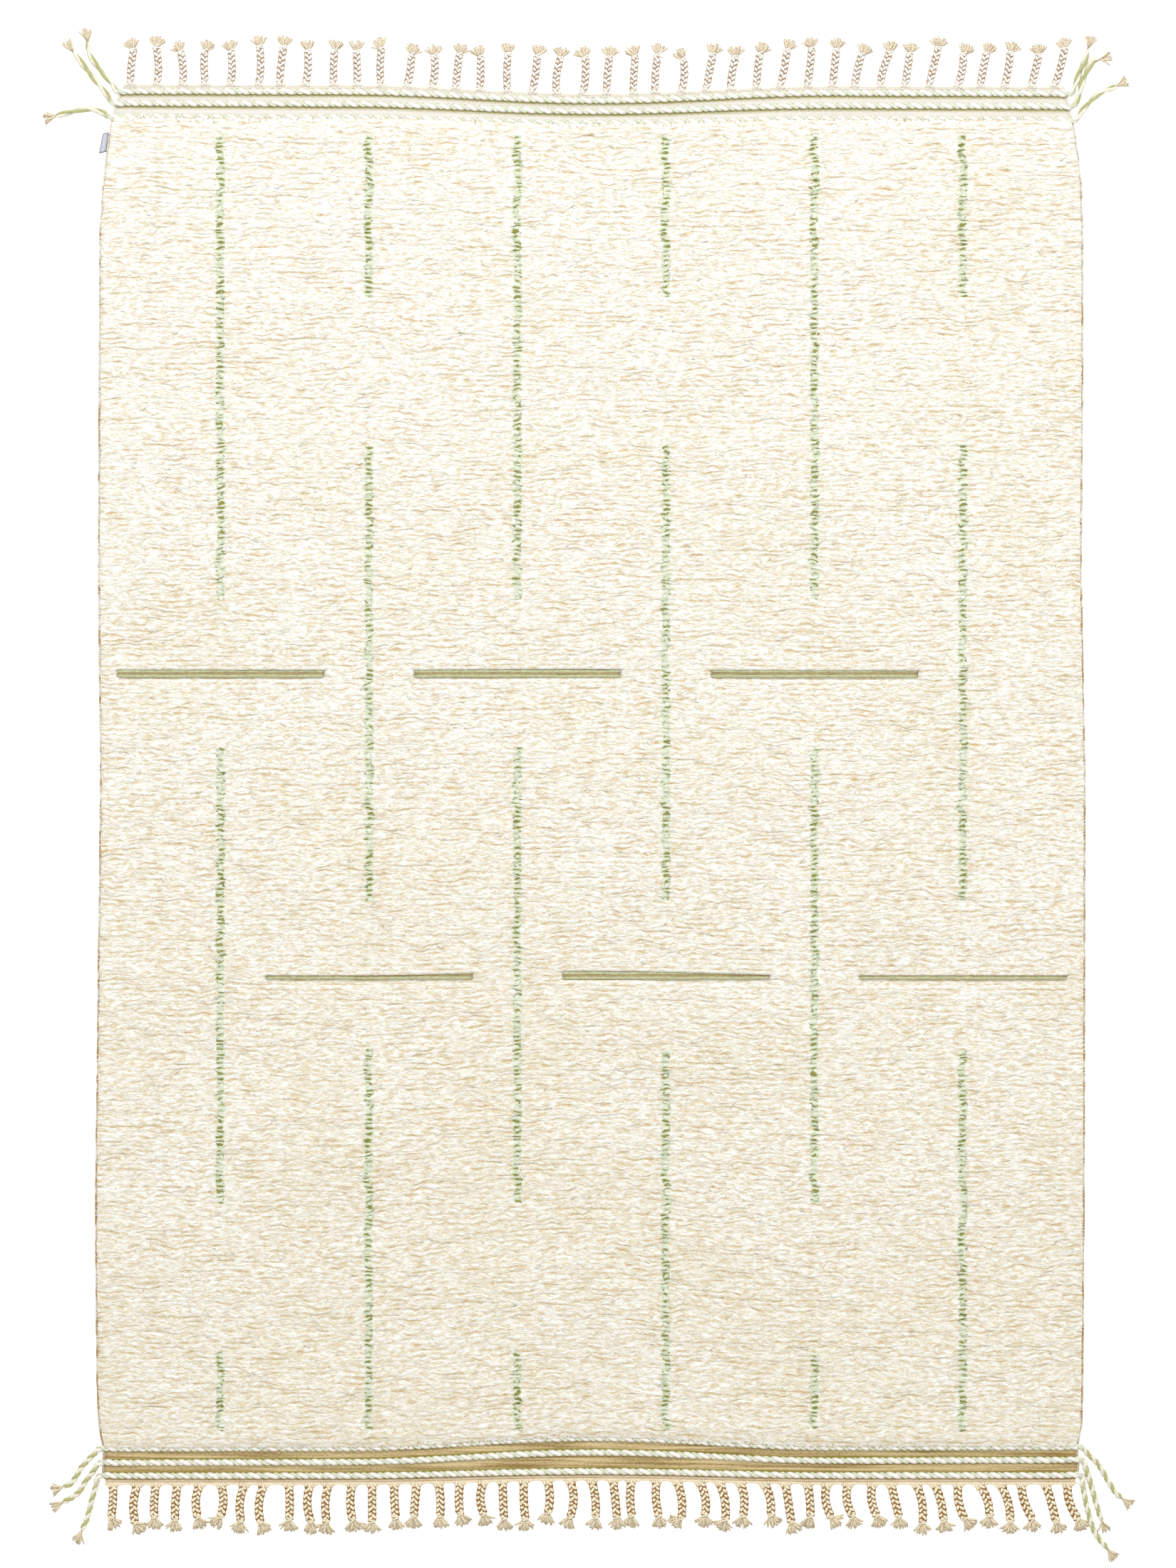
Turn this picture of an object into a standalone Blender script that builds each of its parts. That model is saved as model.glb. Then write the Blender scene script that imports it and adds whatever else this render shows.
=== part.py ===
"""A hand-woven wool pile rug lying flat: shag body, flat-woven ends, twined cord rows, plaited fringes.

Metres, +Z up, +Y along the rug and +X across it. The underside is z = 0, and the origin is the middle of the
whole footprint, with fringes and corner tails. Tables are in millimetres from the middle of the body.
"""

import bmesh
import bpy
import numpy as np

MM = 0.001
GAP = 0.3 * MM  # between pieces that touch

# Driving dimensions
BODY_SHIFT = np.array((4.13, 12.72)) * MM  # from the origin to the middle of the body
HALF_WIDTH = 1000 * MM
KILIM_THICK = 4 * MM
PILE_THICK = 16.5 * MM
SELVEDGE_WIDE = 5 * MM
COLUMN_STEP = 60 * MM  # between the body's lumps, across it
ROW_STEP = 58 * MM  # and along it
RIM_INSET = 10 * MM  # from the outline to where the pile's top begins
RIM_FALL = 3 * MM  # how much lower the pile is at its side edges
LOCK_TIP_HIGH = 9 * MM
LOCK_REACH = 4.5 * MM  # how far the pile's locks hang past the side edges
LUMP = 3 * MM  # how far a lump of pile stands off its even height
RIM_LOCKS = (4.0 * MM, -1.0 * MM, 3.2 * MM)  # how far three locks between two rows stand out at the rim
CORD_WIDE = 12 * MM
CORD_HIGH = 7 * MM
CORD_STEP = 25 * MM
CORD_CLEAR = 2.2 * MM  # from the innermost cord to the foot of the pile
OVERHANG = 5 * MM  # how far a cord stays level past the side edge
ROOT_HALF_WIDE = 11 * MM  # of the gathered warps where a tassel leaves its strip

# Outline of the body: y, left edge x, right edge x
EDGES_MM = np.array((
    (1421, -947, 960),
    (1384, -963, 965),
    (1349, -971, 973),
    (1326, -976, 978),
    (1274, -982, 985),
    (1217, -989, 991),
    (1130, -995, 994),
    (785, -997, 994),
    (439, -998, 991),
    (7, -994, 999),
    (-338, -998, 998),
    (-857, -1004, 997),
    (-1202, -1001, 994),
    (-1289, -997, 992),
    (-1339, -988, 983),
    (-1369, -989, 986),
    (-1411, -990, 981),
))

# Twined cord rows: y of the cord's middle line at the left edge, in the middle and at the right edge
CORD_ROWS_MM = {
    ("top", 1): (1356, 1343, 1350),
    ("top", 2): (1384, 1367, 1377),
    ("top", 3): (1408, 1389, 1403),
    ("bottom", 1): (-1336, -1315, -1333),
    ("bottom", 2): (-1365, -1344, -1359),
    ("bottom", 3): (-1391, -1382, -1390),
}

# Free tails of each cord: steps (x, y) from where it leaves the edge, first the left tail, then the right one
TAILS_MM = {
    ("top", 1): (
        ((-20, 9), (-50, 16), (-86, 9), (-114, 2)),
        ((22, 22), (50, 51), (79, 64), (88, 68)),
    ),
    ("top", 2): (
        ((-16, 16), (-40, 46), (-63, 75), (-85, 104)),
        ((17, 19), (29, 58), (46, 90), (60, 95)),
    ),
    ("top", 3): (
        ((-18, 17), (-42, 45), (-62, 74), (-66, 100)),
        ((15, 18), (26, 48), (36, 70), (42, 92)),
    ),
    ("bottom", 1): (
        ((-19, -13), (-42, -37), (-62, -69), (-80, -78)),
        ((20, -15), (42, -38), (72, -88), (88, -104)),
    ),
    ("bottom", 2): (
        ((-17, -16), (-32, -34), (-50, -62), (-80, -80)),
        ((14, -17), (24, -48), (38, -98), (46, -122)),
    ),
    ("bottom", 3): (
        ((-12, -19), (-20, -46), (-30, -85), (-42, -112)),
        ((9, -19), (18, -64), (33, -114), (60, -150)),
    ),
}

# A tail from its tip inwards: width and height of its tuft's end, its knot, the neck and the plain cord
TAIL_SECTIONS = ((13.5, 4.5), (12, 6.5), (9, 6), (10, 6.5))

# Fringes: direction along y, tassels, width of the strip, tassel length, lean of the tips at left and right
FRINGES_MM = {
    "top": dict(side=1, count=38, strip=6, length=92, lean_left=2, lean_right=24, seed=11),
    "bottom": dict(side=-1, count=45, strip=11, length=92, lean_left=-8, lean_right=27, seed=12),
}

# One tassel: distance along it from 0 to 1, width and height in millimetres
TASSEL_SECTIONS = (
    (0.12, 15, 7.0),
    (0.68, 13, 8.0),
    (0.80, 19, 9.5),
    (1.00, 21, 5.0),
)

# Short flat-woven bars, level with the ground of two grooves: middle x and y
BARS_MM = tuple((x, 230) for x in (-750, -150, 450)) + tuple((x, -380) for x in (-450, 150, 750))
BAR_HALF_LONG_MM = 210
# One groove with its bar: distance from its middle and height of the surface there, both in millimetres
GROOVE_SECTION = ((-15, 16.0), (-8, 8.5), (0, 11.5), (8, 8.5), (15, 16.0))

# Soft swells where the body doesn't lie quite flat: x, y, half length in x, half length in y, rise
SWELLS_MM = (
    (-400, 735, 110, 45, 2.5),
    (330, 690, 170, 40, 2.5),
    (790, 1210, 150, 60, 2.5),
    (-860, 1190, 60, 30, 2.0),
    (-620, -640, 200, 60, 1.8),
    (420, -930, 220, 60, 1.8),
)


def clear_scene():
    for old in list(bpy.data.objects):
        bpy.data.objects.remove(old)


def material(name, colour, roughness):
    made = bpy.data.materials.new(name)
    made.use_nodes = True
    shader = made.node_tree.nodes["Principled BSDF"]
    shader.inputs["Base Color"].default_value = (*colour, 1)
    shader.inputs["Roughness"].default_value = roughness
    shader.inputs["Metallic"].default_value = 0
    return made


def add_object(name, points, faces, finish):
    """Adds a closed mesh with its faces turned outwards, smooth but for its sharp folds."""
    points = np.array(points, dtype=float)
    points[:, :2] += BODY_SHIFT
    mesh = bpy.data.meshes.new(name)
    mesh.from_pydata(points.tolist(), [], faces)
    shape = bmesh.new()
    shape.from_mesh(mesh)
    bmesh.ops.recalc_face_normals(shape, faces=shape.faces)
    shape.to_mesh(mesh)
    shape.free()
    mesh.shade_smooth()
    mesh.set_sharp_from_angle(angle=np.radians(50))
    mesh.materials.append(finish)
    made = bpy.data.objects.new(name, mesh)
    bpy.context.scene.collection.objects.link(made)
    return made


def edge_x(y, side):
    """x of the body's outline at y: the left edge for side -1, the right one for side 1."""
    heights = EDGES_MM[::-1, 0] * MM
    across = EDGES_MM[::-1, 1 if side < 0 else 2] * MM
    return np.interp(y, heights, across)


def edge_y(line, side):
    """y where a line across the body, given as a function of x, meets the outline."""
    return float(line(edge_x(line(side * HALF_WIDTH), side)))


def row_y(x, end, row):
    """y of a cord row at x: straight from edge to edge, with a cosine-shaped dip over the middle half."""
    left, middle, right = (value * MM for value in CORD_ROWS_MM[end, row])
    u = np.asarray(x) / HALF_WIDTH
    dip = (1 + np.cos(2 * np.pi * u.clip(-0.5, 0.5))) / 2
    return left + (right - left) * (u + 1) / 2 + (middle - (left + right) / 2) * dip


def strip_inner_y(x, end):
    """y of the inner side of an end's strip, just outside the outermost cord row."""
    side = FRINGES_MM[end]["side"]
    return row_y(x, end, 3) + side * (CORD_WIDE / 2 + GAP)


def pile_foot_y(x, end):
    """y where the pile begins, just inside the innermost cord row."""
    side = FRINGES_MM[end]["side"]
    return row_y(x, end, 1) - side * (CORD_WIDE / 2 + CORD_CLEAR)


def field_y(x, share):
    """y of a row of knots: its bow goes from the top end's to the bottom end's as share goes from 0 to 1."""
    return (1 - share) * pile_foot_y(x, "top") + share * pile_foot_y(x, "bottom")


def near_bar(x, y):
    """Whether a place lies along one of the flat-woven bars, and how far across it, in millimetres."""
    for bar_x, bar_y in BARS_MM:
        if abs(x / MM - bar_x) < BAR_HALF_LONG_MM + 4 and abs(y / MM - bar_y) < 20:
            return y / MM - bar_y
    return None


def pile_height(x, y, jitter):
    """Height of the pile: its thickness, slow waves, low swells, a fall at the rim and a seeded lump."""
    waves = 0.9 * np.sin(9.1 * x + 3.7 * y) + 0.8 * np.sin(5.3 * x - 12.7 * y + 1)
    waves += 0.6 * np.sin(23 * y + 2 * x)
    height = PILE_THICK + waves * MM + jitter
    for swell_x, swell_y, long_x, long_y, rise in SWELLS_MM:
        distance = ((x / MM - swell_x) / long_x) ** 2 + ((y / MM - swell_y) / long_y) ** 2
        height += rise * MM * np.exp(-distance)
    from_side = min(x - edge_x(y, -1), edge_x(y, 1) - x)
    return height - RIM_FALL * np.exp(-from_side / (14 * MM))


def field_rows():
    """Share and kind of the field's rows in order: even ones, and a close set instead for each groove."""
    length = pile_foot_y(0, "top") - pile_foot_y(0, "bottom")
    even = np.linspace(12 * MM, length - 12 * MM, round(length / ROW_STEP)) / length
    rows = []
    for groove_y in sorted({y for _, y in BARS_MM}):
        middle = (pile_foot_y(0, "top") - groove_y * MM) / length
        even = even[abs(even - middle) * length > 30 * MM]
        rows += [(middle - across * MM / length, "groove") for across, _ in GROOVE_SECTION]
    return sorted(rows + [(share, "pile") for share in even])


def cloth_rows():
    """The body's cross rows from the top end to the bottom one: y as a function of x, and the row's kind."""
    rows = [
        (lambda x: strip_inner_y(x, "top") - GAP, "kilim"),
        (lambda x: row_y(x, "top", 2), "kilim"),
        (lambda x: pile_foot_y(x, "top"), "kilim"),
        (lambda x: pile_foot_y(x, "top") - 3 * MM, "foot"),
    ]
    rows += [(lambda x, share=share: field_y(x, share), kind) for share, kind in field_rows()]
    rows += [
        (lambda x: pile_foot_y(x, "bottom") + 3 * MM, "foot"),
        (lambda x: pile_foot_y(x, "bottom"), "kilim"),
        (lambda x: row_y(x, "bottom", 2), "kilim"),
        (lambda x: strip_inner_y(x, "bottom") + GAP, "kilim"),
    ]
    return rows


def cloth_height(kind, x, y, jitter):
    """Height of the body's top by the row's kind: flat kilim, the pile's end wall, pile or a bar's groove."""
    if kind == "kilim":
        return KILIM_THICK
    if kind == "foot":
        return KILIM_THICK + GAP + CORD_HIGH + 1 * MM + 0.3 * abs(jitter)
    across = near_bar(x, y)
    if across is None:
        return pile_height(x, y, jitter)
    return np.interp(across, *zip(*GROOVE_SECTION)) * MM


def lock_sway(line, kind, x, jitter):
    """How far a lock leans along the rug. Those in the pile's end rows lean a little over the first cord."""
    if kind == "foot":
        outwards = 1 if line(x) > 0 else -1
        return outwards * 0.8 * jitter
    return 4 * jitter if kind == "pile" else 0


def side_points(kind, y, side, reach):
    """Three points at a side edge, from foot to lock tip, which hangs over the wrapped edge beside pile."""
    edge = edge_x(y, side)
    foot_x = edge - side * (SELVEDGE_WIDE + GAP)
    if kind == "kilim":
        return [(foot_x, y, 0), (foot_x, y, 0.4 * KILIM_THICK), (foot_x, y, 0.9 * KILIM_THICK)]
    tip_x = foot_x if kind == "foot" else edge + side * reach
    return [(foot_x, y, 0), (foot_x, y, KILIM_THICK + 0.8 * MM), (tip_x, y, LOCK_TIP_HIGH)]


def build_cloth():
    """One closed profile for each cross row, joined row to row, and a fan under each bowed end."""
    chance = np.random.default_rng(5)
    half_top = HALF_WIDTH - 1.5 * RIM_INSET
    columns = int(half_top / COLUMN_STEP)
    across = np.concatenate(((-1,), np.arange(-columns, columns + 1) * COLUMN_STEP / half_top, (1,)))
    points = []
    ends = []
    for line, kind in cloth_rows():
        left_y, right_y = edge_y(line, -1), edge_y(line, 1)
        low_x = edge_x(left_y, -1) + RIM_INSET
        high_x = edge_x(right_y, 1) - RIM_INSET
        reach = chance.uniform(-1 * MM, LOCK_REACH, 2)
        calm = 0.2 if kind == "groove" else 1.0
        jitters = chance.uniform(-LUMP, LUMP, len(across)) * calm
        top = []
        for u, jitter in zip(across, jitters):
            x = (low_x + high_x) / 2 + u * (high_x - low_x) / 2
            y = float(line(x))
            top.append((x, y + lock_sway(line, kind, x, jitter), cloth_height(kind, x, y, jitter)))
        left = side_points(kind, left_y, -1, reach[0])
        right = side_points(kind, right_y, 1, reach[1])
        points.append(left + top + right[::-1])
        ends.append([(x, y, 0) for x, y, _ in top])
    around = len(points[0])
    flat = [point for row in points for point in row]
    locks = add_locks(flat, [kind for _, kind in cloth_rows()], around)
    faces = []
    for row in range(len(points) - 1):
        for spot in range(around - 1):
            a = row * around + spot
            corners = (a, a + 1, a + around + 1, a + around)
            edges = [edge_points(corners[k], corners[(k + 1) % 4], locks) for k in range(4)]
            faces.append(sum(edges, []))
    for row in range(1, len(points) - 2):
        faces.append((row * around, (row + 1) * around, (row + 2) * around - 1, (row + 1) * around - 1))
    for row, inner in ((0, 1), (len(points) - 1, len(points) - 2)):
        start = len(flat)
        flat += ends[row]
        faces += end_faces(row * around, inner * around, start, around, len(across))
    return add_object("rug_cloth", flat, faces, material("cream_wool", (0.86, 0.80, 0.68), 0.95))


def edge_points(a, b, locks):
    """The first corner of a face's edge from a to b, and then the locks along it."""
    return [a] + locks.get((a, b), locks.get((b, a), [])[::-1])


def add_locks(points, kinds, around):
    """Adds three locks between neighbours round the pile's rim, and gives them by the edge they divide."""
    locks = {}
    sides = [(row, spot) for row in range(len(kinds) - 1) for spot in (2, around - 3)]
    for row, spot in sides:
        if kinds[row] == kinds[row + 1] == "pile":
            a = row * around + spot
            side = -1 if spot == 2 else 1
            locks[a, a + around] = divide_edge(points, a, a + around, np.array((side, 0, -0.3)))
    for row in (row for row, kind in enumerate(kinds) if kind == "foot"):
        outwards = 1 if kinds[row - 1] == "kilim" else -1
        for spot in range(3, around - 4):
            a = row * around + spot
            locks[a, a + 1] = divide_edge(points, a, a + 1, np.array((0, 0.5 * outwards, 0.1)))
    return locks


def divide_edge(points, a, b, outwards):
    """Adds the locks between two points, each its own distance outwards, and returns their numbers."""
    start, end = np.array(points[a]), np.array(points[b])
    first = len(points)
    for k, reach in enumerate(RIM_LOCKS):
        points.append(tuple(start + (end - start) * (k + 1) / 4 + outwards * reach))
    return [first, first + 1, first + 2]


def end_faces(row, inner, start, around, columns):
    """The wall of one end and the fan of its underside. start is the first of the end's bottom points."""
    top = [row + 3 + column for column in range(columns)]
    low = [start + column for column in range(columns)]
    faces = [(top[i], top[i + 1], low[i + 1], low[i]) for i in range(columns - 1)]
    faces.append((row, row + 1, row + 2, top[0], low[0]))
    last = row + around - 1
    faces.append((last, last - 1, last - 2, top[-1], low[-1]))
    rim = [row] + low + [last]
    inner_left, inner_right = inner, inner + around - 1
    half = len(rim) // 2
    faces += [(inner_left, rim[i], rim[i + 1]) for i in range(half)]
    faces += [(inner_right, rim[i], rim[i + 1]) for i in range(half, len(rim) - 1)]
    faces.append((inner_left, rim[half], inner_right))
    return faces


def tube_faces(rings, sides):
    """Side faces of a tube through numbered rings, and its two end caps."""
    faces = []
    for ring in range(rings - 1):
        for side in range(sides):
            a = ring * sides + side
            b = ring * sides + (side + 1) % sides
            faces.append((a, b, b + sides, a + sides))
    faces.append(tuple(range(sides)))
    faces.append(tuple(range((rings - 1) * sides, rings * sides)))
    return faces


def flat_ring(middle, across, wide, high, base):
    """Four corners of a cord lying down: a flat base, and a narrower top, square to the direction across."""
    left, right = middle - across * wide / 2, middle + across * wide / 2
    top_left, top_right = middle - across * wide * 0.3, middle + across * wide * 0.3
    return [(*left, base), (*right, base), (*top_right, base + high), (*top_left, base + high)]


def directions_across(path):
    """Unit directions square to a path on the floor, one for each of its points."""
    along = np.gradient(path, axis=0)
    along /= np.linalg.norm(along, axis=1)[:, None]
    return np.stack((along[:, 1], -along[:, 0]), axis=1)


def smooth_route(points, step):
    """Points a step apart on a curve that passes through each given point (Catmull-Rom)."""
    points = np.vstack((2 * points[0] - points[1], points, 2 * points[-1] - points[-2]))
    route = []
    for i in range(1, len(points) - 2):
        a, b, c, d = points[i - 1 : i + 3]
        count = max(1, round(np.linalg.norm(c - b) / step))
        for t in np.arange(count) / count:
            bend = (2 * a - 5 * b + 4 * c - d) * t**2 + (3 * b - a - 3 * c + d) * t**3
            route.append(b + ((c - a) * t + bend) / 2)
    return np.array(route + [points[-2]])


def tail_route(end, row, side):
    """The cord's last stretch over the kilim and its tail, and the number of points that are still level."""
    y = edge_y(lambda x: row_y(x, end, row), side)
    edge = np.array((edge_x(y, side), y))
    inside_x = edge[0] - side * 32 * MM
    leaves = edge + (side * OVERHANG, 0)
    steps = np.array(TAILS_MM[end, row][0 if side < 0 else 1]) * MM
    route = smooth_route(np.vstack(((inside_x, row_y(inside_x, end, row)), leaves, edge + steps)), 16 * MM)
    return route, int(np.argmin(np.linalg.norm(route - leaves, axis=1))) + 1


def build_cord(end, row):
    """A cord lying over the kilim from edge to edge, with a tail at each side that drops to the floor."""
    left, left_level = tail_route(end, row, -1)
    right, right_level = tail_route(end, row, 1)
    xs = np.linspace(left[0][0], right[0][0], round((right[0][0] - left[0][0]) / CORD_STEP) + 1)[1:-1]
    middle = np.stack((xs, row_y(xs, end, row)), axis=1)
    path = np.vstack((left[::-1], middle, right))
    first_level, last_level = len(left) - left_level, len(path) - len(right) + right_level - 1
    points = []
    for i, (spot, across) in enumerate(zip(path, directions_across(path))):
        if first_level <= i <= last_level:
            lump = 1.0 if i % 2 else 0.82
            points += flat_ring(spot, across, CORD_WIDE * lump, CORD_HIGH * lump, KILIM_THICK + GAP)
        else:
            wide, high = TAIL_SECTIONS[min(i, len(path) - 1 - i, len(TAIL_SECTIONS) - 1)]
            points += flat_ring(spot, across, wide * MM, high * MM, 0)
    name = f"twined_cord_{end}_{row}"
    return add_object(name, points, tube_faces(len(path), 4), material(name, (0.66, 0.68, 0.52), 0.9))


def tassel_places(end):
    """Root x, lean of the tip and length of each tassel of one fringe, even but for seeded chance."""
    size = FRINGES_MM[end]
    chance = np.random.default_rng(size["seed"])
    first, last = (edge_x(edge_y(lambda x: row_y(x, end, 3), way), way) - way * 24 * MM for way in (-1, 1))
    share = np.linspace(0, 1, size["count"])
    roots = first + share * (last - first) + chance.uniform(-4 * MM, 4 * MM, size["count"])
    trend = size["lean_left"] + share**1.5 * (size["lean_right"] - size["lean_left"])
    leans = (trend + chance.uniform(-7, 7, size["count"])) * MM
    lengths = size["length"] * MM * chance.uniform(0.88, 1.08, size["count"])
    return roots, leans, lengths


def build_fringe(end):
    """A narrow strip along the end whose outer wall opens into one four-sided tassel at each root."""
    size = FRINGES_MM[end]
    roots, leans, lengths = tassel_places(end)
    strip_end = ROOT_HALF_WIDE + 4 * MM
    stations = [roots[0] - strip_end]
    for root in roots:
        stations += [root - ROOT_HALF_WIDE, root + ROOT_HALF_WIDE]
    stations.append(roots[-1] + strip_end)
    points = []
    for x in stations:
        inner = float(strip_inner_y(x, end))
        outer = inner + size["side"] * size["strip"] * MM
        points += [(x, inner, 0), (x, inner, KILIM_THICK), (x, outer, KILIM_THICK), (x, outer, 0)]
    faces = []
    for i in range(len(stations) - 1):
        a, b = 4 * i, 4 * i + 4
        faces += [(a, a + 1, b + 1, b), (a + 1, a + 2, b + 2, b + 1), (a + 3, a, b, b + 3)]
        is_root = i % 2 == 1
        if not is_root:
            faces.append((a + 2, a + 3, b + 3, b + 2))
            continue
        tassel = i // 2
        ring = (a + 3, b + 3, b + 2, a + 2)
        start = np.array((roots[tassel], (points[a + 2][1] + points[b + 2][1]) / 2))
        tip = np.array((leans[tassel], size["side"] * lengths[tassel]))
        for share, wide, high in TASSEL_SECTIONS:
            spot = start + tip * (share**1.25, share)
            heading = tip * (1.25 * share**0.25, 1)
            across = np.array((abs(heading[1]), -heading[0] * size["side"])) / np.linalg.norm(heading)
            new = tuple(range(len(points), len(points) + 4))
            points += flat_ring(spot, across, wide * MM, high * MM, 0)
            faces += [(ring[k], ring[(k + 1) % 4], new[(k + 1) % 4], new[k]) for k in range(4)]
            ring = new
        faces.append(ring)
    faces.append((0, 1, 2, 3))
    faces.append(tuple(len(stations) * 4 - 4 + k for k in range(4)))
    return add_object(f"fringe_{end}", points, faces, material(f"fringe_{end}", (0.74, 0.62, 0.43), 0.9))


def build_selvedge(name, side):
    """A cord beside the body's foot along one edge, thick and thin in turn like its wrapping."""
    points = []
    rows = [edge_y(line, side) for line, _ in cloth_rows()]
    for i, y in enumerate(rows):
        outer = edge_x(y, side)
        inner = outer - side * SELVEDGE_WIDE
        swell = side * 0.6 * MM if i % 2 else 0
        points += [(inner, y, 0), (outer + swell, y, 0)]
        points += [(outer + swell / 2, y, 0.8 * KILIM_THICK), (inner, y, KILIM_THICK)]
    return add_object(name, points, tube_faces(len(rows), 4), material(name, (0.56, 0.42, 0.27), 0.9))


def build_tab():
    """A blank folded tape, its open side at the left edge and its fold outwards, wider at its lower end."""
    thick = 1.2 * MM
    points = []
    for y, reach in ((1325 * MM, 12 * MM), (1286 * MM, 15 * MM)):
        inner = edge_x(y, -1) - GAP - 0.7 * MM
        outline = ((inner, 0), (inner, thick), (inner - reach * 0.85, thick), (inner - reach, thick / 2),
                   (inner - reach * 0.85, 0))
        points += [(x, y - (inner - x) * 0.25, z) for x, z in outline]
    return add_object("label_tab", points, tube_faces(2, 5), material("blank_tape", (0.62, 0.62, 0.60), 0.8))


def main():
    clear_scene()
    build_cloth()
    for end, row in CORD_ROWS_MM:
        build_cord(end, row)
    for end in FRINGES_MM:
        build_fringe(end)
    build_selvedge("selvedge_left", -1)
    build_selvedge("selvedge_right", 1)
    build_tab()


main()
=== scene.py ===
"""Looks of a hand-woven wool rug lying flat: pile in rows, flat-woven ends, twined cords and plaited fringes.

Metres, +Z up, +Y along the rug. Tables are in millimetres from the middle of the body. Every piece is worked
out round that middle as whole numpy arrays, and add_piece moves it by BODY_SHIFT into the row frame.
"""

import bpy
import numpy as np
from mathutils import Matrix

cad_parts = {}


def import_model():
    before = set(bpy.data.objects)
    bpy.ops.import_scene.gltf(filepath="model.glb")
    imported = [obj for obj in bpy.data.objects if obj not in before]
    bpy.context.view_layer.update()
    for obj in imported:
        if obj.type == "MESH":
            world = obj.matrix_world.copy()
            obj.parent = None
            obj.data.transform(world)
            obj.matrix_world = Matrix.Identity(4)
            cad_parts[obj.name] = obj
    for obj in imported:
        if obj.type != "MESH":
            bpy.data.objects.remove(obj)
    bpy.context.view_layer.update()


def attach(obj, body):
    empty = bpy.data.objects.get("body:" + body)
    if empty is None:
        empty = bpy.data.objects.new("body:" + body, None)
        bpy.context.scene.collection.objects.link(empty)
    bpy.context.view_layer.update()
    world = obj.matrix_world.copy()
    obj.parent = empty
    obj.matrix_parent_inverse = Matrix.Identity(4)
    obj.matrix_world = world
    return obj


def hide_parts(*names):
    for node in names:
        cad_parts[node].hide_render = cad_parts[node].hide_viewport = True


MM = 0.001
GAP = 0.3 * MM
BODY_SHIFT = np.array((4.13, 12.72, 0)) * MM
HALF_WIDTH = 1000 * MM
KILIM_THICK = 4 * MM
PILE_THICK = 16.5 * MM
SELVEDGE_WIDE = 5 * MM
CORD_WIDE = 12 * MM
PILE_OVER_CORD = 4.5 * MM
TURN = 2 * np.pi

# The part's outline: y, left edge x, right edge x
EDGES_MM = np.array((
    (1421, -947, 960), (1384, -963, 965), (1349, -971, 973), (1326, -976, 978), (1274, -982, 985),
    (1217, -989, 991), (1130, -995, 994), (785, -997, 994), (439, -998, 991), (7, -994, 999),
    (-338, -998, 998), (-857, -1004, 997), (-1202, -1001, 994), (-1289, -997, 992), (-1339, -988, 983),
    (-1369, -989, 986), (-1411, -990, 981),
))

# Twined cords: y of the middle line at the left edge, in the middle and at the right edge, then the steps
# (x, y) of the free tails from where they leave the edge, first the left tail's and then the right one's
CORDS_MM = {
    ("top", 1): (
        (1356, 1343, 1350),
        ((-20, 9), (-50, 16), (-86, 9), (-114, 2)), ((22, 22), (50, 51), (79, 64), (88, 68)),
    ),
    ("top", 2): (
        (1384, 1367, 1377),
        ((-16, 16), (-40, 46), (-63, 75), (-85, 104)), ((17, 19), (29, 58), (46, 90), (60, 95)),
    ),
    ("top", 3): (
        (1408, 1389, 1403),
        ((-18, 17), (-42, 45), (-62, 74), (-66, 100)), ((15, 18), (26, 48), (36, 70), (42, 92)),
    ),
    ("bottom", 1): (
        (-1336, -1315, -1333),
        ((-19, -13), (-42, -37), (-62, -69), (-80, -78)), ((20, -15), (42, -38), (72, -88), (88, -104)),
    ),
    ("bottom", 2): (
        (-1365, -1344, -1359),
        ((-17, -16), (-32, -34), (-50, -62), (-80, -80)), ((14, -17), (24, -48), (38, -98), (46, -122)),
    ),
    ("bottom", 3): (
        (-1391, -1382, -1390),
        ((-12, -19), (-20, -46), (-30, -85), (-42, -112)), ((9, -19), (18, -64), (33, -114), (60, -150)),
    ),
}

# A cord's two strands: reach across, reach upwards, width and height, each on the band and in a free tail
STRANDS_MM = (
    ((2.2, 2.8), (0.7, 1.3), (9.6, 8.0), (5.6, 4.8)),
    ((4.3, 2.9), (2.0, 1.4), (5.0, 7.2), (3.6, 4.8)),
)
CORD_PITCH = 30 * MM
CORD_STATION = 3.75 * MM

# Fringes: direction along y, tassels, width of the strip, tassel length, lean of the tips at left and right,
# seed, stoutness, sideways bow, reach of the olive line beside the cords, and what a free tail adds to the
# pitch of its cord
FRINGES_MM = {
    "top": dict(
        side=1, count=38, strip=6, length=92, lean_left=2, lean_right=24,
        seed=11, stout=1.05, sway=4, line=11, slack=45,
    ),
    "bottom": dict(
        side=-1, count=45, strip=11, length=92, lean_left=-8, lean_right=27,
        seed=12, stout=1.15, sway=7, line=5, slack=-4,
    ),
}
PLAIT_SHARE = 0.80  # of a tassel's length, the rest being its tuft
PLAIT_STATIONS = 21

# Yarn bound round a plait's neck: half width and half height of the loop, its level, half the yarn's width
NECK_HALF_WIDE, NECK_HALF_HIGH, NECK_LEVEL, NECK_YARN = 5.6 * MM, 2.9 * MM, 4.4 * MM, 2.0 * MM

# Soft swells: x, y, half length in x, half length in y, rise
SWELLS_MM = (
    (-400, 735, 110, 45, 2.5), (330, 690, 170, 40, 2.5), (790, 1210, 150, 60, 2.5),
    (-860, 1190, 60, 30, 2.0), (-620, -640, 200, 60, 1.8), (420, -930, 220, 60, 1.8),
)

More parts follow.
